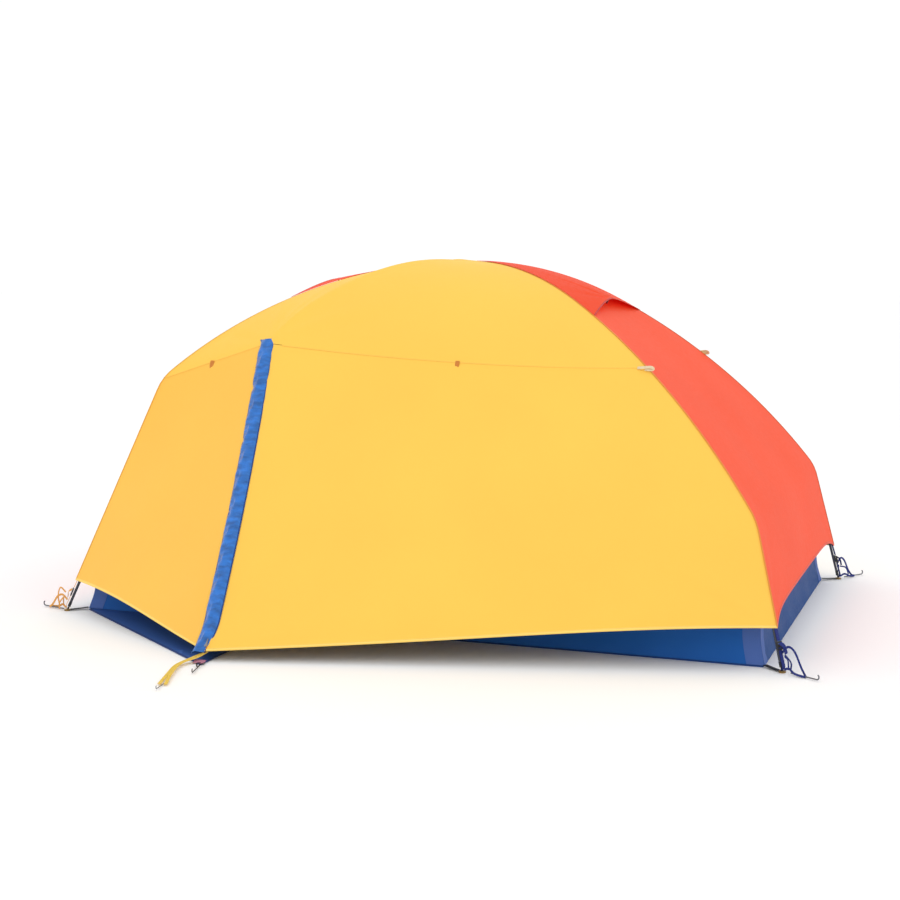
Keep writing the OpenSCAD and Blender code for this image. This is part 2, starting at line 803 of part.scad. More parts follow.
module vent_hood(end) {
    rows = 8;
    color("orangered")
        sheet([for (i = [0 : rows])
                   [for (v = across)
                       let (lip = vent_lip - lip_rise * (1 - v * v))
                       end_point(end, lerp(hood_top, lip, i / rows), end * v,
                                 hood_height(end, i / rows, v))]],
              -fly_t);
}

module fly_head_end() {
    end_panel(-1, vent_lip - lip_rise - vent_overlap, head_hem);
}

module fly_foot_end() {
    end_panel(1, vent_lip - lip_rise - vent_overlap, foot_hem);
}

module head_vent_hood() {
    vent_hood(-1);
}

module foot_vent_hood() {
    vent_hood(1);
}

stay_width = 14;
stay_length = 19;
stay_t = 1.5;
stay_inset = 12;           // distance of a stay's hinge from the lip

// Where a vent stay hinges, under the middle of the hood's lip
stay_d = vent_lip - lip_rise - stay_inset;
function stay_pivot(end) =
    end_point(end, stay_d, 0,
              hood_height(end, 1 - stay_inset / (vent_lip - lip_rise - hood_top), 0) - fly_t - 2);

// Stiff tab that hangs under the lip and props the vent open
module vent_stay(end) {
    a = slope_at(end < 0 ? head_line : foot_line, stay_d);
    color("dimgray")
        band(stay_pivot(end), stay_pivot(end) - stay_length * [end * sin(a), 0, cos(a)],
             stay_width, stay_t, 0);
}

module head_vent_stay() {
    vent_stay(-1);
}

module foot_vent_stay() {
    vent_stay(1);
}

// Panel from the head leg to the zip, under the brow seam
module head_side_panel() {
    top_end = toward(zip_top, apex, 8) + zip_gap * head_side;
    low_end = apex + zip_gap * head_side;
    from = head_seam_end + 8;
    color("goldenrod")
        sheet([for (d = stations(head_line, from, head_hem, 7))
                   let (zip_edge = lerp(top_end, low_end, (d - from) / (head_hem - from)))
                   [for (j = [0 : 6]) lerp(seam(-1, d), zip_edge, j / 6)]],
              -fly_t);
}

// Outer edge of the fixed panel: along the brow seam, then down the foot pole
top_share = 0.45;          // share of that edge that lies on the brow seam
function foot_edge(v) = v < top_share ? brow_curve(v / top_share)
    : seam(1, lerp(foot_seam_end, foot_hem, (v - top_share) / (1 - top_share)));

// Fixed panel between the door's fold line, the brow seam and the foot pole
module foot_side_panel() {
    color("goldenrod")
        sheet([for (v = concat([0.06, 0.15, 0.25, 0.35],
                               [for (d = stations(foot_line, foot_seam_end, foot_hem, 8))
                                   top_share + (1 - top_share) * min(0.93,
                                       (d - foot_seam_end) / (foot_hem - foot_seam_end))]))
                   let (fold = door_point(v * fold_length, 0))
                   let (edge = foot_edge(v))
                   let (start = fold_gap / norm(edge - fold))
                   let (finish = 1 - seam_gap / norm(edge - fold))
                   [for (s = [0 : 0.2 : 1]) lerp(fold, edge, lerp(start, finish, s))]],
              fly_t);
}

module fly_front_head_panel() {
    head_side_panel();
}

module fly_back_head_panel() {
    mirror_back(true)
        head_side_panel();
}

module fly_front_foot_panel() {
    foot_side_panel();
}

module fly_back_foot_panel() {
    mirror_back(true)
        foot_side_panel();
}

module vestibule_door() {
    hem_dir = unit(foot_corner - apex);
    color("gold")
        flat_panel([door_point((fold_gap * cos(angle_at_top) + zip_gap) / sin(angle_at_top), fold_gap),
                    apex + hem_dir * zip_gap / sin(180 - angle_at_top - angle_at_corner),
                    door_point(fold_length - fold_gap / tan(angle_at_corner), fold_gap)], -fly_t);
}

module front_door() {
    vestibule_door();
}

module back_door() {
    mirror_back(true)
        vestibule_door();
}

flap_bow = 9;              // the flap bows this far to each side of the straight zip
flap_lift = 10;            // clearance between the panels and the flap's raised part
flap_rise = 12;            // more clearance at the top, where the head panel is rounder

// Storm flap: sewn to the door along its foot-side edge, and lying over the zip and the head panel
module storm_flap() {
    first = 0.03;
    last = 0.985;
    color("royalblue")
        sheet([for (i = [0 : 12])
                   let (s = lerp(first, last, i / 12))
                   let (mid = zip_top + s * zip_length * zip_dir)
                   let (bow = flap_bow * (4 * s * (1 - s) * 2 - 1))
                   [mid + (flap_width / 2 + bow) * zip_side + (fly_t + gap) * door_out,
                    mid + (flap_width / 2 + bow - 5) * zip_side + flap_lift * door_out,
                    mid + flap_lift * unit(door_out + head_panel_out),
                    mid + (flap_width / 2 - bow) * head_side
                        + (flap_lift - 4 + flap_rise * (1 - s)) * head_panel_out]],
              fly_t);
}

module front_storm_flap() {
    storm_flap();
}

module back_storm_flap() {
    mirror_back(true)
        storm_flap();
}

coil_width = 3;
coil_t = 2;

// One half of the zip's coil, on the side that a direction points to
module zip_coil(side_dir, first, last) {
    start = zip_top + first * zip_dir + (coil_width / 2 + gap / 2) * side_dir;
    band(start, start + (last - first) * zip_dir, coil_width, coil_t, 0);
}

module zip_fixed_coils() {
    color("orange")
        for (back = [false, true])
            mirror_back(back)
                zip_coil(head_side, 14, zip_length - 6);
}

module door_coil() {
    color("orange")
        zip_coil(zip_side, 14, zip_length - 6);
}

module front_door_coil() {
    door_coil();
}

module back_door_coil() {
    mirror_back(true)
        door_coil();
}

slider_size = [9, 24, 2.6];
slider_lift = 1.6;         // the slider rides this far above the coils' middle

// Zip slider with its pull tab, at the bottom of the zip
module zip_slider() {
    out = unit(door_out + head_panel_out);
    foot = zip_top + (zip_length - 12) * zip_dir + (slider_lift + slider_size[2] / 2) * out;
    color("silver")
        slab(foot, foot - slider_size[1] * zip_dir, out, slider_size[0], slider_size[2]);
}

// A band from p to q whose flat side faces along n
module slab(p, q, n, width, t) {
    d = unit(q - p);
    x = unit(n - (n * d) * d);
    y = cross(d, x);
    multmatrix([[x[0], y[0], d[0], p[0]], [x[1], y[1], d[1], p[1]], [x[2], y[2], d[2], p[2]],
                [0, 0, 0, 1]])
        translate([-t / 2, -width / 2, 0])
            cube([t, width, norm(q - p)]);
}

module front_zip_slider() {
    zip_slider();
}

module back_zip_slider() {
    mirror_back(true)
        zip_slider();
}

// ---- Webbing, buckles and pegs ------------------------------------------------------------------

grommet_r = 10;
grommet_bore_r = 5.2;
grommet_z = 2.4;           // height of the webbing's underside at the pole feet

foot_spot = [feet_length / 2, feet_width / 2];

module foot_grommets() {
    color("goldenrod")
        all_corners()
            translate([foot_spot[0], foot_spot[1], 0.5])
                difference() {
                    union() {
                        cylinder(h = 1, r = grommet_r);
                        cylinder(h = 4.2, r = grommet_bore_r + 1.5);
                        translate([0, 0, 3.2])
                            cylinder(h = 1, r = grommet_r);
                    }
                    translate([0, 0, -1])
                        cylinder(h = 7, r = grommet_bore_r);
                }
}

// Straps from the tub's corners to the pole feet, each with a round hole for its grommet
module floor_corner_straps() {
    from = [floor_half_length + 8, floor_half_width + 5];
    reach = norm(foot_spot - from) + 12;
    color("dimgray")
        all_corners()
            translate([from[0], from[1], grommet_z])
                rotate([0, 0, atan2(foot_spot[1] - from[1], foot_spot[0] - from[0])])
                    difference() {
                        translate([0, -webbing_width / 2, 0])
                            cube([reach, webbing_width, 1.2]);
                        translate([reach - 12, 0, -1])
                            cylinder(h = 4, r = grommet_bore_r + 1.7);
                    }
}

strap_off = 9;             // the fly's corner straps lie this far outside the poles
buckle_at = 0.45;          // share of the strap above its buckle
buckle_half = 12;          // half the length of a buckle

function strap_point(end, side, share) =
    let (line = end < 0 ? head_line : foot_line)
    let (hem = end < 0 ? head_hem : foot_hem)
    in_corner(line_at(line, lerp(hem + 2, line_length(line) - 16, share), strap_off), end, side);
function strap_length(end, side) = norm(strap_point(end, side, 1) - strap_point(end, side, 0));
function strap_out(end, side) =
    let (a = leg_slope(end < 0 ? head_line : foot_line)) in_corner([sin(a), cos(a)], end, side);

module fly_corner_straps() {
    color("darkslateblue")
        for (end = [-1, 1])
            for (side = [-1, 1]) {
                half = (buckle_half + gap) / strap_length(end, side);
                slab(strap_point(end, side, 0), strap_point(end, side, buckle_at - half),
                     strap_out(end, side), webbing_width, 1.5);
                slab(strap_point(end, side, buckle_at + half), strap_point(end, side, 1),
                     strap_out(end, side), webbing_width, 1.5);
            }
}

// Ladder buckles: a frame with two slots that the strap is laced through
module corner_buckles() {
    color("black")
        for (end = [-1, 1])
            for (side = [-1, 1]) {
                half = buckle_half / strap_length(end, side);
                difference() {
                    slab(strap_point(end, side, buckle_at - half), strap_point(end, side, buckle_at + half),
                         strap_out(end, side), webbing_width + 6, 4);
                    for (slot = [-0.5, 0.5])
                        slab(strap_point(end, side, buckle_at + (slot - 0.17) * half),
                             strap_point(end, side, buckle_at + (slot + 0.17) * half),
                             strap_out(end, side), webbing_width, 6);
                }
            }
}

loop_length = 78;
loop_width = 18;
loop_band = 4;

// Directions from the pole feet to their pegs, about Z
front_foot_turn = -31;
back_foot_turn = 54;
head_turn = 15;            // inwards from straight out
function peg_turn(end, side) =
    end < 0 ? 180 + side * head_turn : side < 0 ? front_foot_turn : back_foot_turn;

module at_feet(height)
    for (end = [-1, 1])
        for (side = [-1, 1])
            translate([end * foot_spot[0], side * foot_spot[1], height])
                rotate([0, 0, peg_turn(end, side)]) {
                    $end = end;
                    children();
                }

// Stake loops lying on the ground, from each pole foot out to its peg
module stake_loops() {
    color("darkslateblue")
        at_feet(0.2)
            translate([grommet_r + 1, 0, 0])
                loop(loop_length - grommet_r, loop_width, loop_band, 2);
}

// Tapes that hold down the vestibules' tips, with a short loop for each groundsheet point
module apex_tapes() {
    color("gold")
        for (back = [0, 1])
            mirror([0, back, 0]) {
                translate([apex[0] - 16, apex[1] - 12, sheet_t + 0.3])
                    rotate([0, 0, -82])
                        loop(tape_length, 26, 10, 1.5);
                translate([ground_point[0] + 6, -ground_point[1] - 4, sheet_t + 0.3])
                    rotate([0, 0, -76])
                        loop(34, 12, 3, 1.5);
            }
}

guy_spots = [brow_seam(0.13), brow_tab, brow_seam(0.97)];

// Small webbing loops on the brow seam for guy lines
module guy_loops() {
    color("peru")
        for (back = [0, 1])
            mirror([0, back, 0])
                for (p = guy_spots)
                    translate(p + [0, -3, 4])
                        rotate([0, 8, -90])
                            translate([2, 0, 0])
                                loop(26, 14, 3.5, 1.5);
}

hook_r = 7;
peg_lift = 2.4;            // the corner pegs lie on their loops
tape_peg_lift = 3.5;       // and the vestibule pegs lie on their tapes

// A peg lying along +X, its hooked head at the far end
module peg() {
    shaft = peg_length - hook_r;
    translate([0, 0, peg_r])
        rotate([0, 90, 0])
            cylinder(h = shaft, r = peg_r);
    translate([shaft, 0, peg_r])
        rotate([90, 0, 0])
            translate([0, hook_r, 0])
                rotate([0, 0, -90])
                    rotate_extrude(angle = 150)
                        translate([hook_r, 0])
                            circle(r = peg_r);
}

// Distance of a peg's head from its pole foot, so that both ends of the tent reach equally far
function peg_distance(end) =
    end < 0 ? peg_reach * cos(front_foot_turn) / cos(head_turn) : peg_reach;

module pegs() {
    color("dimgray") {
        at_feet(peg_lift)
            translate([peg_distance($end) - peg_length, 0, 0])
                peg();
        for (back = [0, 1])
            mirror([0, back, 0]) {
                translate([apex[0] - 16, apex[1] - 12, tape_peg_lift])
                    rotate([0, 0, -82])
                        translate([tape_length - 25, 0, 0])
                            scale(0.6)
                                peg();
                translate([ground_point[0] + 6, -ground_point[1] - 4, tape_peg_lift])
                    rotate([0, 0, -76])
                        translate([22, 0, 0])
                            scale(0.8)
                                peg();
            }
    }
}

// ---- Nodes ---------------------------------------------------------------------------------------------

groundsheet();
floor();
tub_walls();
canopy_front_wall();
canopy_back_wall();
canopy_head_wall();
canopy_foot_wall();
canopy_roof();
front_inner_door();
back_inner_door();
mesh_pockets();
lantern_loop();
canopy_clips();
brow_sleeve_tabs();
floor_corner_straps();
foot_grommets();
pole_a_tubes();
pole_b_tubes();
pole_a_ferrules();
pole_b_ferrules();
pole_a_shock_cord();
pole_b_shock_cord();
pole_tips();
crown_clip();
brow_pole();
brow_pole_tips();
fly_roof();
fly_head_end();
fly_foot_end();
head_vent_hood();
foot_vent_hood();
head_vent_stay();
foot_vent_stay();
fly_front_head_panel();
fly_back_head_panel();
fly_front_foot_panel();
fly_back_foot_panel();
front_door();
back_door();
front_storm_flap();
back_storm_flap();
zip_fixed_coils();
front_door_coil();
back_door_coil();
front_zip_slider();
back_zip_slider();
fly_corner_straps();
corner_buckles();
stake_loops();
apex_tapes();
guy_loops();
pegs();
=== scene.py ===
import json
import math

import bmesh
import bpy
import numpy as np
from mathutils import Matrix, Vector, geometry


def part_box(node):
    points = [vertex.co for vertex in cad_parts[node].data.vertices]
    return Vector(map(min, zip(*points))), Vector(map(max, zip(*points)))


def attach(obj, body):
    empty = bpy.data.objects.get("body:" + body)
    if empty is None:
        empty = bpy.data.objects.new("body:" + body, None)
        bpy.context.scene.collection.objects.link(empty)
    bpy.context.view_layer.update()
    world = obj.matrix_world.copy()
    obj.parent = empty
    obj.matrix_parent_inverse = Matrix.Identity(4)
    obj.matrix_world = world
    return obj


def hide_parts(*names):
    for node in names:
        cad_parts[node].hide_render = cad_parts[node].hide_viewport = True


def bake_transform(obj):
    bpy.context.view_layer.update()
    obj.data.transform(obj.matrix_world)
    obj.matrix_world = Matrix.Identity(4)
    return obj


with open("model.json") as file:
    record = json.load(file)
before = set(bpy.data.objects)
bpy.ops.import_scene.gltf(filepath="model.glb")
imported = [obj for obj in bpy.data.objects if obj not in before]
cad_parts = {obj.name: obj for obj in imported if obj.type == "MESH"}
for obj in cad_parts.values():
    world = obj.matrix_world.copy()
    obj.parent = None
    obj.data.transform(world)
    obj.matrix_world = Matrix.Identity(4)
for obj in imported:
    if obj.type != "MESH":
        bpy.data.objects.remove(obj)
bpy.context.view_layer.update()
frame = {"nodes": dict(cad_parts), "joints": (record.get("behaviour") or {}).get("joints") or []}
joints = {j["name"]: j for j in frame["joints"]}

# ---- The tent's driving dimensions, in metres, as the CAD model has them -------------------------

GROMMET_R = 0.010
FOOT_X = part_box("foot_grommets")[1].x - GROMMET_R
FOOT_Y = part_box("foot_grommets")[1].y - GROMMET_R
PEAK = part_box("fly_roof")[1].z - 0.006    # the roof stands this far above the end panels
FLY_GAP = 0.014            # from the poles' centre lines to the fly's outer surface
CROWN_WAIST = 0.020        # half width of the yellow roof where it crosses the crown
HEAD_SLOPES = (23, 39, 66)
FOOT_SLOPES = (27, 50, 74)
HEAD_ELBOW_HEIGHT = 0.745
FOOT_ELBOW_HEIGHT = 0.405
ELBOW_R = 0.150
HEAD_HEM_HEIGHT = 0.100
FOOT_HEM_HEIGHT = 0.122
FOOT_SEAM_HEIGHT = 0.815
HEM_RISE = 0.036
VENT_LIP = 0.610           # from the crown to the vent hoods' lips, along the poles
VENT_OVERLAP = 0.070
HEAD_VENT_LIFT = 0.042
FOOT_VENT_LIFT = 0.026
LIP_RISE = 0.045           # how much nearer the crown the middle of a lip is
HOOD_TOP = 0.006
HOOD_GAP = 0.0025
STAY_D = VENT_LIP - LIP_RISE - 0.012
ZIP_SHARE = 0.27           # share of the brow seam on the head side of the zip
CLOTH_T = 0.0006           # thickness that the fly's cloth is drawn with

FOOT_R = math.hypot(FOOT_X, FOOT_Y)
SPREAD = math.atan2(FOOT_Y, FOOT_X)


def vec(*v):
    return np.array(v, float)


def unit(v):
    return v / np.linalg.norm(v)


def lerp(a, b, t):
    return a + (b - a) * t


def flip_y(p):
    """The same point, direction or grid on the back of the tent."""
    return np.asarray(p) * vec(1, -1, 1)


def same(p):
    return np.asarray(p)


SIDES = (("front", -1, same), ("back", 1, flip_y))
ENDS = (("head", -1), ("foot", 1))


# ---- Pole line: crown arc, shoulder arc, elbow arc and straight leg, in a plane of (r, z) --------

class PoleLine:
    """Half of a main pole. Distances d run from the crown to the foot."""

    def __init__(self, slopes, elbow_height):
        a2, a1, leg = (math.radians(a) for a in slopes)
        crown = PEAK - FLY_GAP
        corner = vec(FOOT_R - elbow_height / math.tan(leg), elbow_height)
        reach = ELBOW_R * math.tan((leg - a1) / 2)
        shoulder_end = corner + reach * vec(-math.cos(a1), math.sin(a1))
        m = np.array([[math.sin(a1) - math.sin(a2), math.sin(a2)],
                      [math.cos(a2) - math.cos(a1), 1 - math.cos(a2)]])
        shoulder_r, crown_r = np.linalg.solve(m, vec(shoulder_end[0], crown - shoulder_end[1]))
        crown_c = vec(0, crown - crown_r)
        shoulder_c = crown_c + (crown_r - shoulder_r) * vec(math.sin(a2), math.cos(a2))
        elbow_c = shoulder_end - ELBOW_R * vec(math.sin(a1), math.cos(a1))
        self.arcs = [(crown_c, crown_r, 0, a2), (shoulder_c, shoulder_r, a2, a1),
                     (elbow_c, ELBOW_R, a1, leg)]
        self.leg = leg
        self.elbow_end = corner + reach * vec(math.cos(leg), -math.sin(leg))
        self.starts = [0.0]
        for _, radius, a, b in self.arcs:
            self.starts.append(self.starts[-1] + radius * (b - a))
        self.length = self.starts[3] + np.linalg.norm(vec(FOOT_R, 0) - self.elbow_end)

    def slope(self, d):
        if d >= self.starts[3]:
            return self.leg
        k = max(i for i in range(3) if d >= self.starts[i] or i == 0)
        return self.arcs[k][2] + (d - self.starts[k]) / self.arcs[k][1]

    def at(self, d, off=0.0):
        a = self.slope(d)
        if d >= self.starts[3]:
            along = (d - self.starts[3]) * vec(math.cos(a), -math.sin(a))
            return self.elbow_end + along + off * vec(math.sin(a), math.cos(a))
        k = max(i for i in range(3) if d >= self.starts[i] or i == 0)
        return self.arcs[k][0] + (self.arcs[k][1] + off) * vec(math.sin(a), math.cos(a))

    def leg_distance(self, z, off):
        return self.length - (z - off * math.cos(self.leg)) / math.sin(self.leg)

    def shoulder_distance(self, z, off):
        centre, radius, a2, _ = self.arcs[1]
        return self.starts[1] + (math.acos((z - centre[1]) / (radius + off)) - a2) * radius


head_line = PoleLine(HEAD_SLOPES, HEAD_ELBOW_HEIGHT)
foot_line = PoleLine(FOOT_SLOPES, FOOT_ELBOW_HEIGHT)


def in_corner(p, end, side):
    return vec(end * p[0] * math.cos(SPREAD), side * p[0] * math.sin(SPREAD), p[1])


def line_of(end):
    return head_line if end < 0 else foot_line


def seam(end, d, off=0.0):
    """The fly's surface over the front pole of one end."""
    p = in_corner(line_of(end).at(d, FLY_GAP + off), end, -1)
    return vec(end * math.hypot(p[0], CROWN_WAIST), p[1], p[2])


head_seam_end = (head_line.starts[2] + head_line.starts[3]) / 2
foot_seam_end = foot_line.shoulder_distance(FOOT_SEAM_HEIGHT, FLY_GAP)
head_hem = head_line.leg_distance(HEAD_HEM_HEIGHT, FLY_GAP)
foot_hem = foot_line.leg_distance(FOOT_HEM_HEIGHT, FLY_GAP)
head_knee = seam(-1, head_seam_end)
foot_seam = seam(1, foot_seam_end)
head_corner = seam(-1, head_hem)
foot_corner = seam(1, foot_hem)
zip_top = vec(*joints["front_door_lift"]["pos_m"])
fold_dir = -vec(*joints["front_door_lift"]["axis"])
zip_dir = -vec(*joints["front_zip_slide"]["axis"])
APEX_HEIGHT = 0.030
apex = zip_top + zip_dir * (zip_top[2] - APEX_HEIGHT) / -zip_dir[2]
brow_tab = vec(0.140, -0.530, 0.826)
door_out = unit(np.cross(apex - zip_top, foot_corner - zip_top))
door_down = unit((apex - zip_top) - fold_dir * np.dot(apex - zip_top, fold_dir))
head_panel_out = unit(np.cross(zip_top - apex, head_corner - apex))
zip_side = unit(np.cross(door_out, zip_dir))
zip_side *= np.sign(np.dot(zip_side, fold_dir))
head_side = unit(np.cross(head_panel_out, zip_dir))
head_side *= -np.sign(head_side[0])


def brow_seam(v):
    """The seam between the roof and the walls: head knee, zip top, brow tab, foot pole."""
    if v < ZIP_SHARE:
        return lerp(head_knee, zip_top, v / ZIP_SHARE)
    w = (v - ZIP_SHARE) / (1 - ZIP_SHARE)
    middle = 2 * brow_tab - (zip_top + foot_seam) / 2
    return (1 - w) ** 2 * zip_top + 2 * w * (1 - w) * middle + w * w * foot_seam


# ---- Grids of points: the cloth is made and shaped as arrays of rows by columns by 3 -------------

def run_along(points):
    """Distance of each point from the first, along the line."""
    return np.concatenate([[0], np.cumsum(np.linalg.norm(np.diff(points, axis=0), axis=1))])


def even(points, count):
    """The same curve, with its points evenly spaced."""
    points = np.array(points)
    run = run_along(points)
    places = np.linspace(0, run[-1], count)
    return np.stack([np.interp(places, run, points[:, k]) for k in range(3)], axis=1)


def curve(function, start, end, count):
    return even([function(lerp(start, end, t)) for t in np.linspace(0, 1, 300)], count)


def line(a, b, count):
    return np.array([lerp(a, b, t) for t in np.linspace(0, 1, count)])


def coons(top, bottom, left, right):
    """The smooth patch between four edges. Top and bottom run left to right, the others downwards."""
    v = np.linspace(0, 1, len(left))[:, None, None]
    u = np.linspace(0, 1, len(top))[None, :, None]
    across = (1 - v) * top[None] + v * bottom[None]
    down = (1 - u) * left[:, None] + u * right[:, None]
    corners = ((1 - u) * (1 - v) * top[0] + u * (1 - v) * top[-1]
               + (1 - u) * v * bottom[0] + u * v * bottom[-1])
    return across + down - corners


def pull_taut(grid, rounds):
    """Lets the inside of a patch settle between its edges, as stretched cloth does."""
    g = grid.copy()
    for _ in range(rounds):
        g[1:-1, 1:-1] = (g[:-2, 1:-1] + g[2:, 1:-1] + g[1:-1, :-2] + g[1:-1, 2:]) / 4
    return g


def normals(grid):
    """Outward normals of a grid: away from a point inside the tent."""
    du = np.gradient(grid, axis=1)
    dv = np.gradient(grid, axis=0)
    n = np.cross(dv, du)
    n /= np.maximum(np.linalg.norm(n, axis=2, keepdims=True), 1e-12)
    middle = vec(0, 0, 0.35)
    if np.sum(n * (grid - middle)) < 0:
        n = -n
    return n


def arc_lengths(grid):
    """Metres of cloth along the columns and the rows, for the weave."""
    u = np.cumsum(np.pad(np.linalg.norm(np.diff(grid, axis=1), axis=2), ((0, 0), (1, 0))), axis=1)
    v = np.cumsum(np.pad(np.linalg.norm(np.diff(grid, axis=0), axis=2), ((1, 0), (0, 0))), axis=0)
    return u, v


def edge_fade(shape, width=0.10):
    """0 on the edges of a grid and 1 inside it."""
    v = np.linspace(0, 1, shape[0])[:, None]
    u = np.linspace(0, 1, shape[1])[None, :]
    near = np.minimum(np.minimum(u, 1 - u), np.minimum(v, 1 - v)) / width
    t = np.clip(near, 0, 1)
    return t * t * (3 - 2 * t)


def soft_ripple(grid, depth, wavelength, seed):
    """Long shallow waves, as in cloth that isn't quite taut everywhere."""
    rng = np.random.default_rng(seed)
    u, v = arc_lengths(grid)
    total = np.zeros(u.shape)
    for _ in range(6):
        angle = rng.uniform(0, math.pi)
        size = wavelength * rng.uniform(0.6, 1.8)
        phase = rng.uniform(0, 2 * math.pi)
        total += np.sin(2 * math.pi * (u * math.cos(angle) + v * math.sin(angle)) / size + phase)
    offset = depth * total / 3 * edge_fade(u.shape)
    return grid + offset[..., None] * normals(grid)


def creases(grid, corner, length, count, depth, seed):
    """Folds that fan out from a place where the cloth is pulled, and die away."""
    rng = np.random.default_rng(seed)
    n = normals(grid)
    up = unit(n.reshape(-1, 3).mean(axis=0))
    x = unit(np.cross(up, vec(0.3, 0.2, 1)))
    y = np.cross(up, x)
    away = grid - corner
    angle = np.arctan2(away @ y, away @ x)
    far = np.linalg.norm(away, axis=2)
    wave = np.zeros(angle.shape)
    for k in (1.0, 1.7, 2.6):
        wave += np.sin(count * k * angle + rng.uniform(0, 2 * math.pi)) / k
    offset = depth * wave * np.exp(-(far / length) ** 2) * far / (far + 0.25 * length)
    return grid + (offset * edge_fade(angle.shape, 0.05))[..., None] * n


# ---- Meshes --------------------------------------------------------------------------------------

def new_object(name, verts, faces, uvs=None, material=None, sharp_angle=40):
    """A mesh object with metric UVs, smooth where its faces meet at less than sharp_angle."""
    mesh = bpy.data.meshes.new(name)
    mesh.from_pydata([tuple(map(float, v)) for v in verts], [], [tuple(map(int, f)) for f in faces])
    if uvs is not None:
        layer = mesh.uv_layers.new(name="cloth")
        flat = np.array(uvs, np.float32)[np.array([i for f in faces for i in f])]
        layer.data.foreach_set("uv", flat.ravel())
    bm = bmesh.new()
    bm.from_mesh(mesh)
    bmesh.ops.recalc_face_normals(bm, faces=bm.faces)
    for face in bm.faces:
        face.smooth = True
    for e in bm.edges:
        if len(e.link_faces) == 2 and e.calc_face_angle(0) > math.radians(sharp_angle):
            e.smooth = False
    bm.to_mesh(mesh)
    bm.free()
    obj = bpy.data.objects.new(name, mesh)
    bpy.context.scene.collection.objects.link(obj)
    if material is not None:
        mesh.materials.append(material)
    return obj


def cloth(name, grid, material, thickness=CLOTH_T, side_normals=None, inner_face=None):
    """A closed thin sheet: the grid is its outer face. inner_face, if given, is the material of its inner
    face.
    """
    rows, cols = grid.shape[:2]
    n = normals(grid) if side_normals is None else side_normals
    inner = grid - thickness * n
    count = rows * cols
    index = np.arange(count).reshape(rows, cols)
    quads = np.stack([index[:-1, :-1], index[1:, :-1], index[1:, 1:], index[:-1, 1:]],
                     axis=-1).reshape(-1, 4)
    rim = np.concatenate([index[0, :], index[1:, -1], index[-1, -2::-1], index[-2:0:-1, 0]])
    turn = np.roll(rim, -1)
    walls = np.stack([rim, turn, turn + count, rim + count], axis=-1)
    faces = [*quads, *(quads[:, ::-1] + count), *walls]
    u, v = arc_lengths(grid)
    uv = np.stack([u, v], axis=-1).reshape(-1, 2)
    verts = np.concatenate([grid.reshape(-1, 3), inner.reshape(-1, 3)])
    piece = new_object(name, verts, faces, np.concatenate([uv, uv]), material)
    if inner_face is not None:
        piece.data.materials.append(inner_face)
        for polygon in piece.data.polygons[len(quads):2 * len(quads)]:
            polygon.material_index = 1
    return piece


def enlist(piece, slot, body, *nodes):
    """Hides the CAD nodes that a piece stands for and hangs it on the body it rides on; slot is not used.
    """
    if nodes:
        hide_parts(*nodes)
    if body:
        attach(piece, body)
    return piece


def declare_grid(grid, size=None):
    """Works out a grid's size, its longest row and column unless the size is given, and does nothing more
    with it.
    """
    u, v = arc_lengths(grid)
    size = size or (float(u[:, -1].max()), float(v[-1, :].max()))


# A band's section with rounded shoulders, in shares of its width and its thickness.
BAND_PROFILE = [(-0.5, 0.0), (-0.46, 0.8), (-0.35, 1.0), (0.35, 1.0), (0.46, 0.8), (0.5, 0.0)]


def band(name, centre, across, out, width, thickness, material, lift=0.0):
    """A flat strap along a line of points. across and out are its sideways and outward directions."""
    centre = np.asarray(centre)
    count = len(centre)
    run = run_along(centre)
    verts = []
    uvs = []
    for i in range(count):
        for w, h in BAND_PROFILE:
            verts.append(centre[i] + across[i] * w * width + out[i] * (lift + h * thickness))
            uvs.append((w * width, run[i]))
    p = len(BAND_PROFILE)
    faces = []
    for i in range(count - 1):
        for j in range(p):
            k = (j + 1) % p
            faces.append((i * p + j, i * p + k, (i + 1) * p + k, (i + 1) * p + j))
    faces.append(tuple(range(p)))
    faces.append(tuple(range((count - 1) * p, count * p)))
    return new_object(name, verts, faces, uvs, material)


def strap(name, points, out, width, thickness, material, lift=0.0):
    """A strap along a given route: out is one direction for the whole strap or one a point."""
    points = np.asarray(points, float)
    tangents = np.gradient(points, axis=0)
    tangents /= np.linalg.norm(tangents, axis=1, keepdims=True)
    out = np.broadcast_to(np.asarray(out, float), points.shape)
    across = np.cross(tangents, out)
    across /= np.linalg.norm(across, axis=1, keepdims=True)
    outward = np.cross(across, tangents)
    return band(name, points, across, outward, width, thickness, material, lift)


def rounded(points, count):
    """A smooth curve through given points (Catmull-Rom), evenly spaced."""
    p = np.array([2 * np.array(points[0]) - np.array(points[1]), *points,
                  2 * np.array(points[-1]) - np.array(points[-2])], float)
    out = []
    for i in range(1, len(p) - 2):
        for t in np.linspace(0, 1, 20, endpoint=False):
            a, b, c, d = p[i - 1:i + 3]
            out.append(0.5 * (2 * b + (c - a) * t + (2 * a - 5 * b + 4 * c - d) * t * t
                              + (3 * b - a - 3 * c + d) * t ** 3))
    out.append(p[-2])
    return even(out, count)


# ---- Materials -----------------------------------------------------------------------------------

def srgb(r, g, b):
    """Linear colour of a colour that is given from 0 to 255."""
    def one(c):
        c /= 255
        return c / 12.92 if c <= 0.04045 else ((c + 0.055) / 1.055) ** 2.4
    return (one(r), one(g), one(b), 1.0)


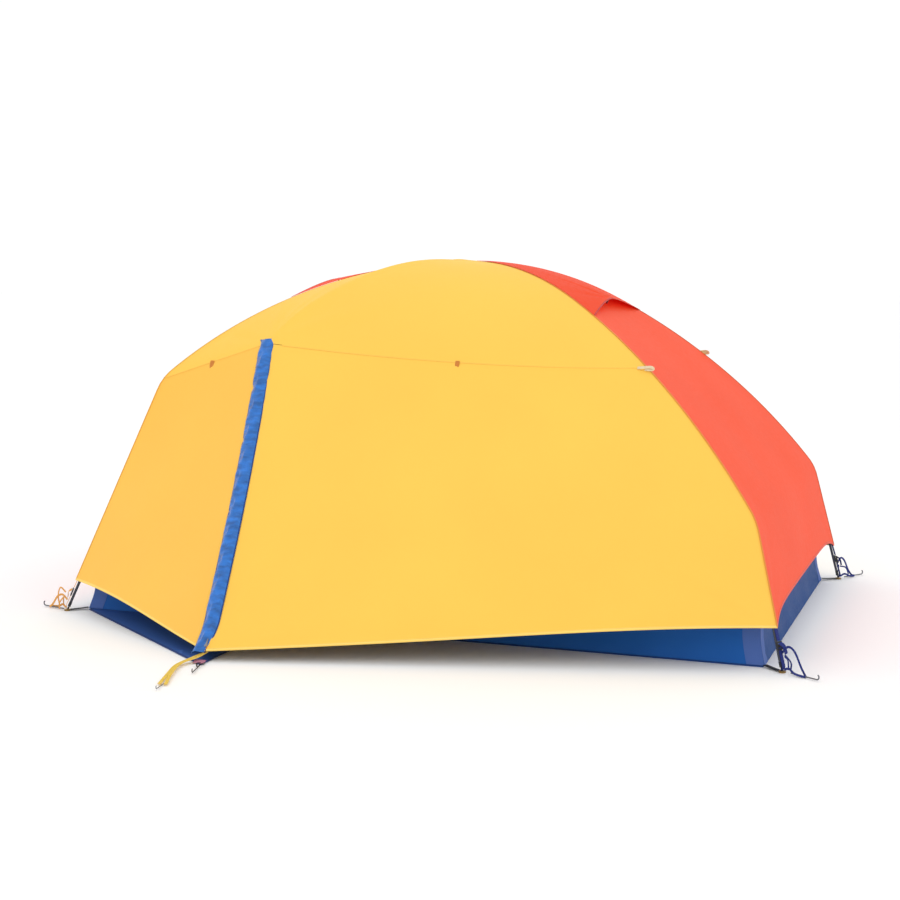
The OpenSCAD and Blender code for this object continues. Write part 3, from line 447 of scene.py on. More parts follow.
class Shader:
    """A material with short calls for its nodes."""

    def __init__(self, name, roughness=0.6, metallic=0.0, specular=0.4):
        self.material = bpy.data.materials.new(name)
        self.material.use_nodes = True
        self.tree = self.material.node_tree
        self.bsdf = self.tree.nodes["Principled BSDF"]
        self.set("Roughness", roughness)
        self.set("Metallic", metallic)
        self.set("Specular IOR Level", specular)

    def set(self, name, value):
        self.bsdf.inputs[name].default_value = value

    def drive(self, name, value):
        self.link(value, self.bsdf.inputs[name])

    def node(self, kind, **values):
        made = self.tree.nodes.new(kind)
        for key, value in values.items():
            setattr(made, key, value)
        return made

    def link(self, a, b):
        self.tree.links.new(a, b)

    def coords(self, kind):
        return self.node("ShaderNodeTexCoord").outputs[kind]

    def scaled(self, vector, scale, turn=0.0):
        mapping = self.node("ShaderNodeMapping")
        mapping.inputs["Rotation"].default_value = (0, 0, math.radians(turn))
        mapping.inputs["Scale"].default_value = scale
        self.link(vector, mapping.inputs["Vector"])
        return mapping.outputs["Vector"]

    def noise(self, vector, scale, detail=3.0, roughness=0.5):
        made = self.node("ShaderNodeTexNoise")
        made.inputs["Scale"].default_value = scale
        made.inputs["Detail"].default_value = detail
        made.inputs["Roughness"].default_value = roughness
        self.link(vector, made.inputs["Vector"])
        return made.outputs["Fac"]

    def wave(self, vector, scale, direction):
        made = self.node("ShaderNodeTexWave", wave_type="BANDS", bands_direction=direction,
                         wave_profile="SIN")
        made.inputs["Scale"].default_value = scale
        self.link(vector, made.inputs["Vector"])
        return made.outputs["Fac"]

    def math(self, operation, a, b=0.0):
        made = self.node("ShaderNodeMath", operation=operation)
        for socket, value in zip(made.inputs, (a, b)):
            if isinstance(value, (int, float)):
                socket.default_value = value
            else:
                self.link(value, socket)
        return made.outputs[0]

    def between(self, fac, low, high):
        """A value from low to high as fac goes from 0 to 1."""
        return self.math("ADD", self.math("MULTIPLY", fac, high - low), low)

    def mix(self, fac, a, b):
        made = self.node("ShaderNodeMix", data_type="RGBA")
        for socket, value in ((made.inputs[0], fac), (made.inputs[6], a), (made.inputs[7], b)):
            if isinstance(value, (int, float, tuple)):
                socket.default_value = value
            else:
                self.link(value, socket)
        return made.outputs[2]

    def colour(self, value):
        self.drive("Base Color", value)

    def split(self, vector):
        """The X, Y and Z of a vector."""
        made = self.node("ShaderNodeSeparateXYZ")
        self.link(vector, made.inputs[0])
        return made.outputs

    def bump(self, height, strength, distance):
        made = self.node("ShaderNodeBump")
        made.inputs["Strength"].default_value = strength
        made.inputs["Distance"].default_value = distance
        self.link(height, made.inputs["Height"])
        if self.bsdf.inputs["Normal"].is_linked:
            self.link(self.bsdf.inputs["Normal"].links[0].from_socket, made.inputs["Normal"])
        self.link(made.outputs["Normal"], self.bsdf.inputs["Normal"])


def shade(colour, factor):
    return tuple(min(1.0, c * factor) for c in colour[:3]) + (1.0,)


RIPSTOP = 0.006            # spacing of the thicker threads, in metres
THICK_THREAD = 0.13        # their width, as a share of the spacing
WEAVE = 260                # scale of the fine diagonal weave
STITCHES = 330             # stitches in a metre of seam
STITCH_ROW = 0.0028        # from a seam's middle to each row of stitches
MESH_CELL = 0.0025         # size of the netting's holes


def ripstop(name, colour, roughness=0.55, sheen=0.08, contrast=0.05, specular=0.20):
    """Coated nylon: a fine weave with thicker threads in squares, cloudy colour and a soft sheen."""
    s = Shader(name, roughness, specular=specular)
    uv = s.coords("UV")
    where = s.coords("Object")
    s.set("Sheen Weight", sheen)
    s.set("Sheen Roughness", 0.45)
    s.set("Sheen Tint", shade(colour, 1.4))
    threads = s.split(s.scaled(uv, (1 / RIPSTOP, 1 / RIPSTOP, 1)))
    pair = [s.math("LESS_THAN", s.math("FRACT", threads[k]), THICK_THREAD) for k in (0, 1)]
    grid = s.math("MAXIMUM", *pair)
    cloudy = s.noise(where, 3.2, 4)
    fine = s.noise(where, 70, 3)
    base = s.mix(cloudy, shade(colour, 1 - contrast), shade(colour, 1 + contrast))
    base = s.mix(s.math("MULTIPLY", fine, 0.10), base, shade(colour, 0.9))
    base = s.mix(s.math("MULTIPLY", grid, 0.10), base, shade(colour, 0.82))
    s.colour(base)
    s.drive("Roughness", s.between(fine, roughness - 0.06, roughness + 0.08))
    s.bump(grid, 0.12, 0.0002)
    s.bump(s.wave(uv, WEAVE, "DIAGONAL"), 0.06, 0.0001)
    s.bump(s.noise(where, 14, 4, 0.6), 0.10, 0.004)
    return s.material


def lit_through(material, colour, strength):
    """Daylight that shines through thin cloth, as a faint glow of the cloth's own colour."""
    bsdf = material.node_tree.nodes["Principled BSDF"]
    bsdf.inputs["Emission Color"].default_value = colour
    bsdf.inputs["Emission Strength"].default_value = strength


def puckered(name, colour):
    """Coated nylon that its stitching gathers into slanting creases, with painted shade in the folds and a
    painted highlight on the ridges.
    """
    s = Shader(name, 0.38, specular=0.4)
    uv = s.coords("UV")
    s.set("Sheen Weight", 0.10)
    crease = s.noise(s.scaled(uv, (22, 62, 1), turn=38), 1.0, 3, 0.55)
    tone = s.math("SUBTRACT", s.math("MULTIPLY", crease, 2.6), 0.8)
    tone = s.math("MINIMUM", s.math("MAXIMUM", tone, 0.0), 1.0)
    fine = s.noise(s.coords("Object"), 80, 3)
    # The crease noise also colours the cloth: painted shade in the folds, painted highlight on the ridges.
    base = s.mix(tone, shade(colour, 0.62), shade(colour, 1.38))
    s.colour(s.mix(s.math("MULTIPLY", fine, 0.15), base, shade(colour, 0.8)))
    s.drive("Roughness", s.between(fine, 0.32, 0.48))
    s.bump(crease, 0.55, 0.004)
    s.bump(s.wave(uv, WEAVE, "DIAGONAL"), 0.06, 0.0001)
    return s.material


def webbing(name, colour, rib=0.0022):
    """Woven tape: ribs across it and a slightly frayed colour."""
    s = Shader(name, 0.75, specular=0.25)
    uv = s.coords("UV")
    ribs = s.wave(s.scaled(uv, (0.35, 1, 1)), 1 / rib / 2, "Y")
    chevron = s.wave(uv, 1 / rib / 1.4, "DIAGONAL")
    weave = s.math("MULTIPLY", ribs, chevron)
    s.set("Sheen Weight", 0.4)
    s.set("Sheen Tint", shade(colour, 1.6))
    fray = s.noise(s.coords("Object"), 90, 4)
    s.colour(s.mix(weave, s.mix(fray, shade(colour, 0.6), shade(colour, 0.85)), shade(colour, 1.15)))
    s.bump(weave, 0.55, 0.0006)
    return s.material


def seam_tape(name, colour, stitch_colour):
    """A felled seam or binding: a folded edge with two rows of stitches."""
    s = Shader(name, 0.62, specular=0.3)
    across, along, _ = s.split(s.coords("UV"))
    dash = s.math("LESS_THAN", s.math("FRACT", s.math("MULTIPLY", along, STITCHES)), 0.62)
    from_row = s.math("SUBTRACT", s.math("ABSOLUTE", across), STITCH_ROW)
    row = s.math("LESS_THAN", s.math("ABSOLUTE", from_row), 0.0005)
    stitch = s.math("MULTIPLY", dash, row)
    cloudy = s.noise(s.coords("Object"), 12, 4)
    base = s.mix(cloudy, shade(colour, 0.93), shade(colour, 1.04))
    s.colour(s.mix(stitch, base, stitch_colour))
    s.set("Sheen Weight", 0.05)
    s.bump(stitch, 0.5, 0.0004)
    s.bump(s.noise(s.coords("Object"), 160, 3), 0.15, 0.0006)
    return s.material


def mesh_cloth(name, colour):
    """Knitted netting: small holes in rows on a pale yarn, painted dark as the shade of what lies behind
    them.
    """
    s = Shader(name, 0.8, specular=0.2)
    cells = s.node("ShaderNodeTexVoronoi", feature="F1")
    cells.inputs["Scale"].default_value = 1 / MESH_CELL
    cells.inputs["Randomness"].default_value = 0.15
    s.link(s.coords("UV"), cells.inputs["Vector"])
    hole = s.math("LESS_THAN", cells.outputs["Distance"], 0.36)
    cloudy = s.noise(s.coords("Object"), 5, 3)
    yarn = s.mix(cloudy, shade(colour, 0.9), shade(colour, 1.08))
    # The holes are painted dark: painted shade of what lies behind the netting.
    s.colour(s.mix(s.math("MULTIPLY", hole, 0.55), yarn, shade(colour, 0.35)))
    s.set("Sheen Weight", 0.3)
    s.bump(s.math("SUBTRACT", 1.0, hole), 0.4, 0.0005)
    return s.material


def moulded(name, colour, roughness=0.5):
    """Moulded nylon: a fine grain, a slight cloudiness and lighter raised edges."""
    s = Shader(name, roughness, specular=0.45)
    where = s.coords("Object")
    grain = s.noise(where, 900, 3)
    cloudy = s.noise(where, 40, 4)
    edges = s.node("ShaderNodeNewGeometry").outputs["Pointiness"]
    # Raised edges, where Pointiness is high, are drawn lighter.
    edge_lightening = s.math("MULTIPLY", s.math("GREATER_THAN", edges, 0.56), 0.4)
    base = s.mix(cloudy, shade(colour, 0.85), shade(colour, 1.25))
    s.colour(s.mix(edge_lightening, base, shade(colour, 2.6)))
    s.drive("Roughness", s.between(cloudy, roughness - 0.08, roughness + 0.10))
    s.bump(grain, 0.12, 0.0003)
    return s.material


def metal(name, colour, roughness):
    """Anodised metal, with a fine grain and small scuffs."""
    s = Shader(name, roughness, metallic=1.0, specular=0.5)
    where = s.coords("Object")
    grain = s.noise(where, 220, 4)
    scuffs = s.noise(where, 55, 5, 0.65)
    s.colour(s.mix(scuffs, shade(colour, 0.82), shade(colour, 1.1)))
    s.drive("Roughness", s.between(scuffs, roughness - 0.08, roughness + 0.16))
    s.bump(grain, 0.08, 0.0003)
    return s.material


def coil_plastic(name, colour):
    """A coil zip: rows of small teeth."""
    s = Shader(name, 0.45, specular=0.5)
    teeth = s.wave(s.coords("Object"), 380, "Z")
    s.colour(s.mix(teeth, shade(colour, 0.45), shade(colour, 1.1)))
    s.bump(teeth, 0.6, 0.0006)
    return s.material


YELLOW = srgb(255, 201, 84)
# A slightly darker copy of the fly's yellow for the head panels: painted shade on the same cloth as the
# roof and doors.
YELLOW_SIDE_SHADED = srgb(250, 193, 82)
ORANGE = srgb(248, 86, 50)
# A darker, redder copy of the end panels' orange for the hoods: painted shade on the same cloth.
HOOD_ORANGE_SHADED = srgb(240, 70, 26)
# Red for the hoods' inner faces: painted light, daylight shining through the orange cloth, not a lining of
# another colour.
HOOD_GLOW_RED = srgb(255, 34, 34)
BLUE_FLAP = srgb(34, 106, 188)
NAVY = srgb(60, 98, 170)
TUB_BLUE = srgb(24, 92, 172)
PALE = srgb(214, 212, 206)
NET = srgb(190, 192, 196)
PURPLE_WEB = srgb(44, 56, 130)
DARK_WEB = srgb(38, 38, 46)
ORANGE_WEB = srgb(242, 172, 92)
YELLOW_WEB = srgb(255, 206, 92)
BROWN_WEB = srgb(226, 142, 66)
BLACK = srgb(24, 24, 28)
GREY_METAL = srgb(84, 86, 94)
BRASS = srgb(196, 160, 92)

purple_patch = ripstop("purple_patch", srgb(74, 104, 172), roughness=0.6)
# The hoods' inner faces are painted red with a faint glow: painted light through the cloth.
hood_lining = ripstop("hood_lining", HOOD_GLOW_RED, sheen=0.0, specular=0.05)
lit_through(hood_lining, HOOD_GLOW_RED, 0.16)
pink_patch = ripstop("pink_patch", srgb(176, 118, 140), roughness=0.6)
fly_yellow = ripstop("fly_yellow", YELLOW)
fly_side_yellow = ripstop("fly_side_yellow", YELLOW_SIDE_SHADED)
fly_orange = ripstop("fly_orange", ORANGE, sheen=0.02, specular=0.10)
# The hoods' darker orange is painted shade.
hood_orange = ripstop("hood_orange", HOOD_ORANGE_SHADED, sheen=0.0, specular=0.08)
flap_blue = puckered("flap_blue", BLUE_FLAP)
ground_navy = ripstop("ground_navy", NAVY, roughness=0.6)
tub_blue = ripstop("tub_blue", TUB_BLUE, roughness=0.5, sheen=0.04, contrast=0.08, specular=0.14)
# A darker copy of the tub's blue for its end walls: painted shade on the same cloth.
tub_end_blue = ripstop("tub_end_blue", srgb(20, 70, 134), roughness=0.5, sheen=0.02, contrast=0.08,
                       specular=0.10)
canopy_pale = ripstop("canopy_pale", PALE, roughness=0.7)
canopy_net = mesh_cloth("canopy_net", NET)
pocket_net = mesh_cloth("pocket_net", srgb(70, 72, 80))
yellow_seam = seam_tape("yellow_seam", shade(YELLOW, 0.94), shade(YELLOW, 0.84))
# The seam over the foot poles in a darker brownish orange: a real seam with the pole's thin shadow painted
# into its colour.
orange_seam = seam_tape("orange_seam", srgb(228, 142, 54), srgb(206, 116, 44))
# The fly's hem binding, paler than the cloth: a real binding with a painted highlight along the hem in its
# colour.
hem_binding = seam_tape("hem_binding", srgb(255, 216, 112), srgb(240, 184, 80))
orange_binding = seam_tape("orange_binding", srgb(236, 80, 52), srgb(190, 50, 34))
lip_binding = seam_tape("lip_binding", srgb(200, 34, 24), srgb(140, 22, 16))
blue_binding = seam_tape("blue_binding", srgb(24, 62, 130), srgb(16, 40, 96))
pale_binding = seam_tape("pale_binding", srgb(196, 196, 196), srgb(150, 150, 155))
navy_webbing = webbing("navy_webbing", PURPLE_WEB)
dark_webbing = webbing("dark_webbing", DARK_WEB)
orange_webbing = webbing("orange_webbing", ORANGE_WEB)
yellow_webbing = webbing("yellow_webbing", YELLOW_WEB)
brown_webbing = webbing("brown_webbing", BROWN_WEB)
cream_webbing = webbing("cream_webbing", srgb(252, 226, 186))
pole_metal = metal("pole_metal", GREY_METAL, 0.32)
ferrule_metal = metal("ferrule_metal", srgb(176, 178, 184), 0.24)
peg_metal = metal("peg_metal", srgb(118, 120, 126), 0.35)
slider_metal = metal("slider_metal", srgb(140, 142, 146), 0.3)
grommet_metal = metal("grommet_metal", BRASS, 0.3)
black_plastic = moulded("black_plastic", BLACK)
grey_plastic = moulded("grey_plastic", srgb(70, 72, 78))
cord_rubber = webbing("cord_rubber", srgb(30, 30, 32), rib=0.0012)
zip_plastic = coil_plastic("zip_plastic", srgb(232, 150, 40))

# ---- Camera, light and floor ---------------------------------------------------------------------

CAMERA_AT = (1.751, -5.051, 1.139)
CAMERA_PITCH = 0.120
CAMERA_YAW = 0.347
SENSOR_W = 36.0            # in millimetres, as the lens is
CAMERA_LENS = 63.84

camera_data = bpy.data.cameras.new("camera")
camera_data.sensor_width = SENSOR_W
camera_data.lens = CAMERA_LENS
camera_data.clip_end = 100
camera = bpy.data.objects.new("camera", camera_data)
camera.location = CAMERA_AT
camera.rotation_euler = (math.pi / 2 - CAMERA_PITCH, 0, CAMERA_YAW)
bpy.context.scene.collection.objects.link(camera)
bpy.context.scene.camera = camera


def softbox(name, place, target, size, power):
    data = bpy.data.lights.new(name, "AREA")
    data.shape = "DISK"
    data.size = size
    data.energy = power
    lamp = bpy.data.objects.new(name, data)
    lamp.location = place
    lamp.rotation_euler = (Vector(target) - Vector(place)).to_track_quat("-Z", "Y").to_euler()
    bpy.context.scene.collection.objects.link(lamp)


def studio():
    """A plain pale floor under soft, nearly even white light."""
    world = bpy.data.worlds.new("studio")
    world.use_nodes = True
    world.node_tree.nodes["Background"].inputs["Color"].default_value = (1.0, 1.0, 1.0, 1.0)
    world.node_tree.nodes["Background"].inputs["Strength"].default_value = 1.03
    bpy.context.scene.world = world
    bpy.context.scene.view_settings.view_transform = "Standard"
    softbox("key", (-2.5, -6.0, 4.5), (0, 0, 0.4), 4.0, 26)
    softbox("fill", (5.0, -3.5, 3.0), (0.5, 0, 0.4), 4.0, 10)
    softbox("top", (0.0, 1.0, 6.0), (0, 0, 0), 5.0, 16)
    paper = Shader("paper", 0.9, specular=0.1)
    tone = paper.noise(paper.coords("Object"), 0.6, 2)
    paper.colour(paper.mix(tone, (0.975, 0.975, 0.975, 1), (0.990, 0.990, 0.990, 1)))
    floor = new_object("floor_sheet", [(-40, -40, 0), (40, -40, 0), (40, 40, 0), (-40, 40, 0)],
                       [(0, 1, 2, 3)], material=paper.material)
    floor.location.z = -0.0005


studio()


# ---- Rain fly ------------------------------------------------------------------------------------


def roof_grid():
    """The roof from the front brow seam over the crown to the back brow seam."""
    half = []
    for t in np.linspace(0, 0.998, 56):
        ahead = seam(-1, t * head_seam_end)
        behind = seam(1, t * foot_seam_end)
        row = []
        for v in np.linspace(0, 1, 121):
            flat = lerp(ahead, behind, v)
            flat_end = lerp(head_knee, foot_seam, v)
            row.append(flat + t * (brow_seam(v) - flat_end))
        half.append(row)
    front = np.array(half)
    return np.concatenate([flip_y(front)[:0:-1], front])


def fly_roof():
    """The yellow roof, with creases that fan out from the top of each zip."""
    grid = soft_ripple(roof_grid(), 0.0012, 0.5, 3)
    for seed, (_, _, turn) in enumerate(SIDES, 4):
        grid = creases(grid, turn(zip_top), 0.34, 9, 0.0026, seed)
    piece = enlist(cloth("roof_cloth", grid, fly_yellow), "fly_yellow", "tent", "fly_roof")
    declare_grid(grid)


END_COLUMNS = 61
LIP_BAND = 0.006           # width of the binding on a hood's lip
END_PULL = 0.006           # how far the end panels draw in between the poles
END_CLEAR = 0.0015         # from an end panel's edges to the poles' centre planes
HEM_ARCH = 0.300           # length of an end panel that rises with its arched hem


def end_row(end, d_of_v, off_of_v):
    """A row of an end panel from its front pole to its back pole."""
    row = []
    for v in np.linspace(-1, 1, END_COLUMNS):
        d = d_of_v(v)
        p = line_of(end).at(d, FLY_GAP + off_of_v(v))
        width = abs(in_corner(line_of(end).at(d, FLY_GAP), end, -1)[1]) - END_CLEAR
        x = math.hypot(p[0] * math.cos(SPREAD), CROWN_WAIST)
        row.append((end * x, v * width, p[1]))
    return row


def end_panel(end, word):
    """The orange end between the poles, from under its vent hood to its arched hem."""
    top = VENT_LIP - LIP_RISE - VENT_OVERLAP
    last = head_hem if end < 0 else foot_hem
    rows = []
    for t in np.linspace(0, 1, 110):
        d = lerp(top, last, t)
        rise = HEM_RISE * max(0.0, (d - last) / HEM_ARCH + 1)
        rows.append(end_row(end, lambda v: d - rise * (1 - abs(v) ** 8),
                            lambda v: -END_PULL * (1 - v * v)))
    grid = soft_ripple(np.array(rows), 0.0018, 0.45, 20 + end)
    for side in (-1, 1):
        corner = (head_corner if end < 0 else foot_corner) * vec(1, -side, 1)
        grid = creases(grid, corner, 0.20, 11, 0.0016, 30 + end + side)
    piece = enlist(cloth(f"{word}_end_cloth", grid, fly_orange), "fly_orange", "tent", f"fly_{word}_end")
    declare_grid(grid)
    hem(f"{word}_end_hem", grid, -1, orange_binding, "tent", "fly_orange")


def vent_hood(end, word):
    """The hood over a vent: its lip stands up and back in the middle, and meets the poles at its ends."""
    most = HEAD_VENT_LIFT if end < 0 else FOOT_VENT_LIFT

    def peak(v):
        return 1 - abs(v) ** 1.5
    rows = [end_row(end, lambda v: lerp(HOOD_TOP, VENT_LIP - LIP_RISE * peak(v), t),
                    lambda v: HOOD_GAP + most * t ** 3 * peak(v)) for t in np.linspace(0, 1, 64)]
    grid = np.array(rows)
    grid = creases(grid, grid[-1, END_COLUMNS // 2], 0.16, 9, 0.0018, 40 + end)
    # The hood's inner face is painted red and glowing, as painted light through the cloth.
    piece = cloth(f"{word}_hood_cloth", grid, hood_orange, inner_face=hood_lining)
    enlist(piece, "fly_orange", "tent", f"{word}_vent_hood")
    declare_grid(grid)
    lip, out, inward = edge_frames(grid, row=-1)
    enlist(band(f"{word}_hood_cloth_lip", lip + LIP_BAND / 2 * inward, inward, out, LIP_BAND, 0.0012,
                lip_binding, -0.0006), "fly_orange", "tent")


ZIP_HALF = 0.002           # from the zip's middle to the cloth's edge on each side


def side_panel_grid():
    """The panel between the head pole and the zip, on the front."""
    top = curve(brow_seam, 0, ZIP_SHARE, 61)
    zip_edge = line(zip_top, apex, 90) + ZIP_HALF * head_side
    pole_edge = curve(lambda d: seam(-1, d), head_seam_end, head_hem, 90)
    low = line(pole_edge[-1], zip_edge[-1], 61)
    t = np.linspace(0, 1, 61)
    low[:, 2] += 0.024 * np.sin(math.pi * t) * (1 - t)
    top[-1] = zip_edge[0]
    grid = pull_taut(coons(top, low, pole_edge, zip_edge), 260)
    return soft_ripple(creases(grid, zip_edge[-1], 0.35, 7, 0.0016, 51), 0.0014, 0.4, 52)


def vestibule_grid():
    """The cloth from the zip to the foot pole: the door and the fixed panel behind its fold line."""
    top = curve(brow_seam, ZIP_SHARE, 1, 121)
    zip_edge = line(zip_top, apex, 100) + ZIP_HALF * zip_side
    pole_edge = curve(lambda d: seam(1, d), foot_seam_end, foot_hem, 100)
    low = line(zip_edge[-1], pole_edge[-1], 121)
    t = np.linspace(0, 1, 121)
    low[:, 2] += 0.026 * t * t * np.sin(math.pi * t)
    grid = pull_taut(coons(top, low, zip_edge, pole_edge), 500)
    grid = creases(grid, apex, 0.40, 8, 0.0018, 61)
    grid = creases(grid, foot_corner, 0.30, 10, 0.0016, 62)
    return soft_ripple(grid, 0.0016, 0.55, 63)


FOLD_ZONE = 0.045          # half width of a band about the door's fold line


def blend_door(piece, turn):
    """Bakes the piece's placement into its mesh. The ends of a band about the fold line are worked out and
    not used.
    """
    middle = zip_top + fold_dir * 0.8
    reach = FOLD_ZONE * door_down
    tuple(turn(middle - reach))
    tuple(turn(middle + reach))
    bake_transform(piece)


def side_cloths(side, turn, side_grid, door_grid):
    """One long side of the fly: the panel at the head, and the vestibule with its door."""
    # The head panel takes the darker yellow: painted shade.
    panel = cloth(f"{side}_head_panel_cloth", turn(side_grid), fly_side_yellow)
    enlist(panel, "fly_yellow", "tent", f"fly_{side}_head_panel")
    declare_grid(side_grid)
    hem(f"{side}_head_panel_hem", side_grid, -1, hem_binding, "tent", "fly_yellow", turn=turn)
    door = cloth(f"{side}_vestibule_cloth", turn(door_grid), fly_yellow)
    blend_door(door, turn)
    enlist(door, "fly_yellow", None, f"{side}_door", f"fly_{side}_foot_panel")
    declare_grid(door_grid)
    door_hem = hem(f"{side}_door_hem", door_grid, -1, hem_binding, None, "fly_yellow", turn=turn)
    blend_door(door_hem, turn)


def edge_frames(grid, row=None, col=None):
    """Points, outward normals and inward directions along one edge of a grid."""
    n = normals(grid)
    if row is not None:
        points = grid[row]
        out = n[row]
        inner = grid[row + 1] if row == 0 else grid[row - 1]
    else:
        points = grid[:, col]
        out = n[:, col]
        inner = grid[:, col + 1] if col == 0 else grid[:, col - 1]
    inward = inner - points
    inward /= np.maximum(np.linalg.norm(inward, axis=1, keepdims=True), 1e-9)
    return points, out, inward


def hem(name, grid, row, material, body, slot, width=0.009, turn=same):
    """A folded hem along one edge of a panel, standing a little proud of it on both faces."""
    points, out, inward = (turn(a) for a in edge_frames(grid, row=row))
    middle = points + inward * (width / 2 - 0.001)
    return enlist(band(name, middle, inward, out, width, 0.0018, material, -0.0010), slot, body)


def pole_seam(name, end, turn, start, finish, material, slot, width=0.006):
    """A felled seam over a pole, between the yellow and the orange cloth."""
    points = []
    outs = []
    for d in np.linspace(start, finish, 80):
        a = line_of(end).slope(d)
        points.append(turn(seam(end, d)))
        outs.append(turn(in_corner((math.sin(a), math.cos(a)), end, -1)))
    enlist(strap(name, points, outs, width, 0.0008, material), slot, "tent")


def brow_seams(side, y, turn):
    """The seam between the roof and the walls, in two parts with the zip's top between them."""
    out = unit(vec(0.0, y * 0.72, 0.70))
    # The head part of the seam takes the head panels' darker yellow, which is painted shade.
    for part, start, finish, material in (("head", 0.004, ZIP_SHARE, fly_side_yellow),
                                          ("foot", ZIP_SHARE + 0.03, 0.996, yellow_seam)):
        points = [turn(brow_seam(v)) for v in np.linspace(start, finish, 100)]
        piece = strap(f"brow_seam_{part}_{side}", points, out, 0.004, 0.0005, material)
        enlist(piece, "fly_yellow", "tent")


FLAP_HALF = 0.0275         # half the flap's width
FLAP_RISE = 0.0085         # how far its middle stands up off the zip
FLAP_OVER = 0.014          # how far it reaches above the zip's top
FLAP_CUT = 0.008           # how far its sides reach above its middle there, so that it looks cut square


def flap_pucker(run, w, phases):
    """Height of the creases along the flap's stitching: run metres down it and w across it."""
    return (0.0019 * math.sin(2 * math.pi * (run / 0.083 + 0.75 * w) + phases[0])
            + 0.0013 * math.sin(2 * math.pi * (run / 0.047 - 0.9 * w) + phases[1])
            + 0.0016 * math.sin(2 * math.pi * run / 0.19 + phases[2]))


def flap_grid(rows=170, cols=15):
    """The flap over the front zip. It bows a little, and curls towards the head at its foot."""
    length = np.linalg.norm(apex - zip_top)
    out = unit(door_out + head_panel_out)
    across = unit(np.cross(out, zip_dir))
    across *= np.sign(np.dot(across, zip_side))
    phases = np.random.default_rng(71).uniform(0, 2 * math.pi, 4)
    grid = np.zeros((rows, cols, 3))
    for i, s in enumerate(np.linspace(0, 1, rows)):
        here = zip_top + lerp(-FLAP_OVER, length * 1.004, s) * zip_dir
        curl = max(0.0, (s - 0.90) / 0.10) ** 2
        bow = 0.010 * math.sin(math.pi * s) - 0.004 - 0.022 * curl
        half = FLAP_HALF - 0.005 * curl
        full = min(1.0, 0.35 + s / 0.03)
        cut = FLAP_CUT * max(0.0, 1 - s / 0.05)
        for j, w in enumerate(np.linspace(-1, 1, cols)):
            share = abs(w)
            rise = FLAP_RISE * full * (1 - share ** 2.6) + 0.0025
            rise += flap_pucker(s * length, w, phases) * (1 - share ** 6) * full
            fall, side_dir = (door_out, zip_side) if w > 0 else (head_panel_out, head_side)
            grid[i, j] = (here - cut * share ** 1.5 * zip_dir + bow * across
                          + share * half * side_dir + rise * lerp(out, fall, share))
    return grid


def storm_flap(side, turn, grid):
    """The blue flap over the zip, puckered along its two lines of stitching."""
    grid = turn(grid)
    piece = cloth(f"{side}_flap_cloth", grid, flap_blue, 0.0007)
    enlist(piece, "fly_blue", f"{side}_door", f"{side}_storm_flap")
    declare_grid(grid)
    for col, label in ((0, "free"), (-1, "sewn")):
        points, outs, inward = edge_frames(grid, col=col)
        enlist(band(f"{side}_flap_{label}_edge", points + 0.002 * inward, inward, outs, 0.004, 0.0009,
                    blue_binding, -0.0003), "fly_blue", f"{side}_door")


def rain_fly():
    fly_roof()
    for word, end in ENDS:
        end_panel(end, word)
        vent_hood(end, word)
    side_grid = side_panel_grid()
    door_grid = vestibule_grid()
    flap = flap_grid()
    for side, y, turn in SIDES:
        side_cloths(side, turn, side_grid, door_grid)
        storm_flap(side, turn, flap)
        brow_seams(side, y, turn)
        for word, end in ENDS:
            # The foot seams carry a painted pole shadow in their colour.
            last, material = (head_hem, yellow_seam) if end < 0 else (foot_hem, orange_seam)
            pole_seam(f"{word}_{side}_pole_seam", end, turn, 0.10, last - 0.004, material, "fly_orange")


rain_fly()


# ---- Inner tent ----------------------------------------------------------------------------------

FLOOR_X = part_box("floor")[1].x
FLOOR_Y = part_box("floor")[1].y
TUB_HEIGHT = 0.165
TUB_TOP_X = FLOOR_X - 0.010
TUB_TOP_Y = FLOOR_Y - 0.013
TUB_FOOT = 0.0037
TUB_BOW = 0.012            # how far the tub's walls sag inwards half way up
TUB_ROWS = 16
PATCH_COLS = 4             # columns of a tub wall under the patch at its upright edge
WALL_TOP_Y = 0.420
BROW_LINE = 0.800
CANOPY_TOP = 1.070
CROWN_FLAT = (0.150, 0.080)
HEAD_SHOULDER = (-0.840, 0.735)
FOOT_BEND = (1.005, 0.395)
FOOT_SHOULDER = (0.600, 0.800)
WALL_SLOPE = math.atan2(BROW_LINE - TUB_HEIGHT, TUB_TOP_Y - WALL_TOP_Y)
HEAD_ROOF_X = lerp(HEAD_SHOULDER[0], -CROWN_FLAT[0],
                   (BROW_LINE - HEAD_SHOULDER[1]) / (CANOPY_TOP - HEAD_SHOULDER[1]))
DOOR_HINGE_X = joints["front_inner_door_swing"]["pos_m"][0]
DOOR_SIZE = (0.620, 0.580)
DOOR_SILL = 0.015
DOOR_ROUND = 0.260
DOOR_PLAY = 0.004
ZIP_BAND = 0.010           # width of the bindings along a door's edge and its opening
ZIP_INSET = 0.006          # from those edges to the bindings' middles
NET_FROM = 0.27            # height up the wall where the netting starts


def on_wall(x, up, out):
    """A point of the front wall: along the tent, up the slope, outwards."""
    return vec(x, -TUB_TOP_Y + up * math.cos(WALL_SLOPE) - out * math.sin(WALL_SLOPE),
               TUB_HEIGHT + up * math.sin(WALL_SLOPE) + out * math.cos(WALL_SLOPE))


def wall_y(z):
    return lerp(TUB_TOP_Y, WALL_TOP_Y, (z - TUB_HEIGHT) / (BROW_LINE - TUB_HEIGHT))


def up_wall(z):
    return (z - TUB_HEIGHT) / math.sin(WALL_SLOPE)


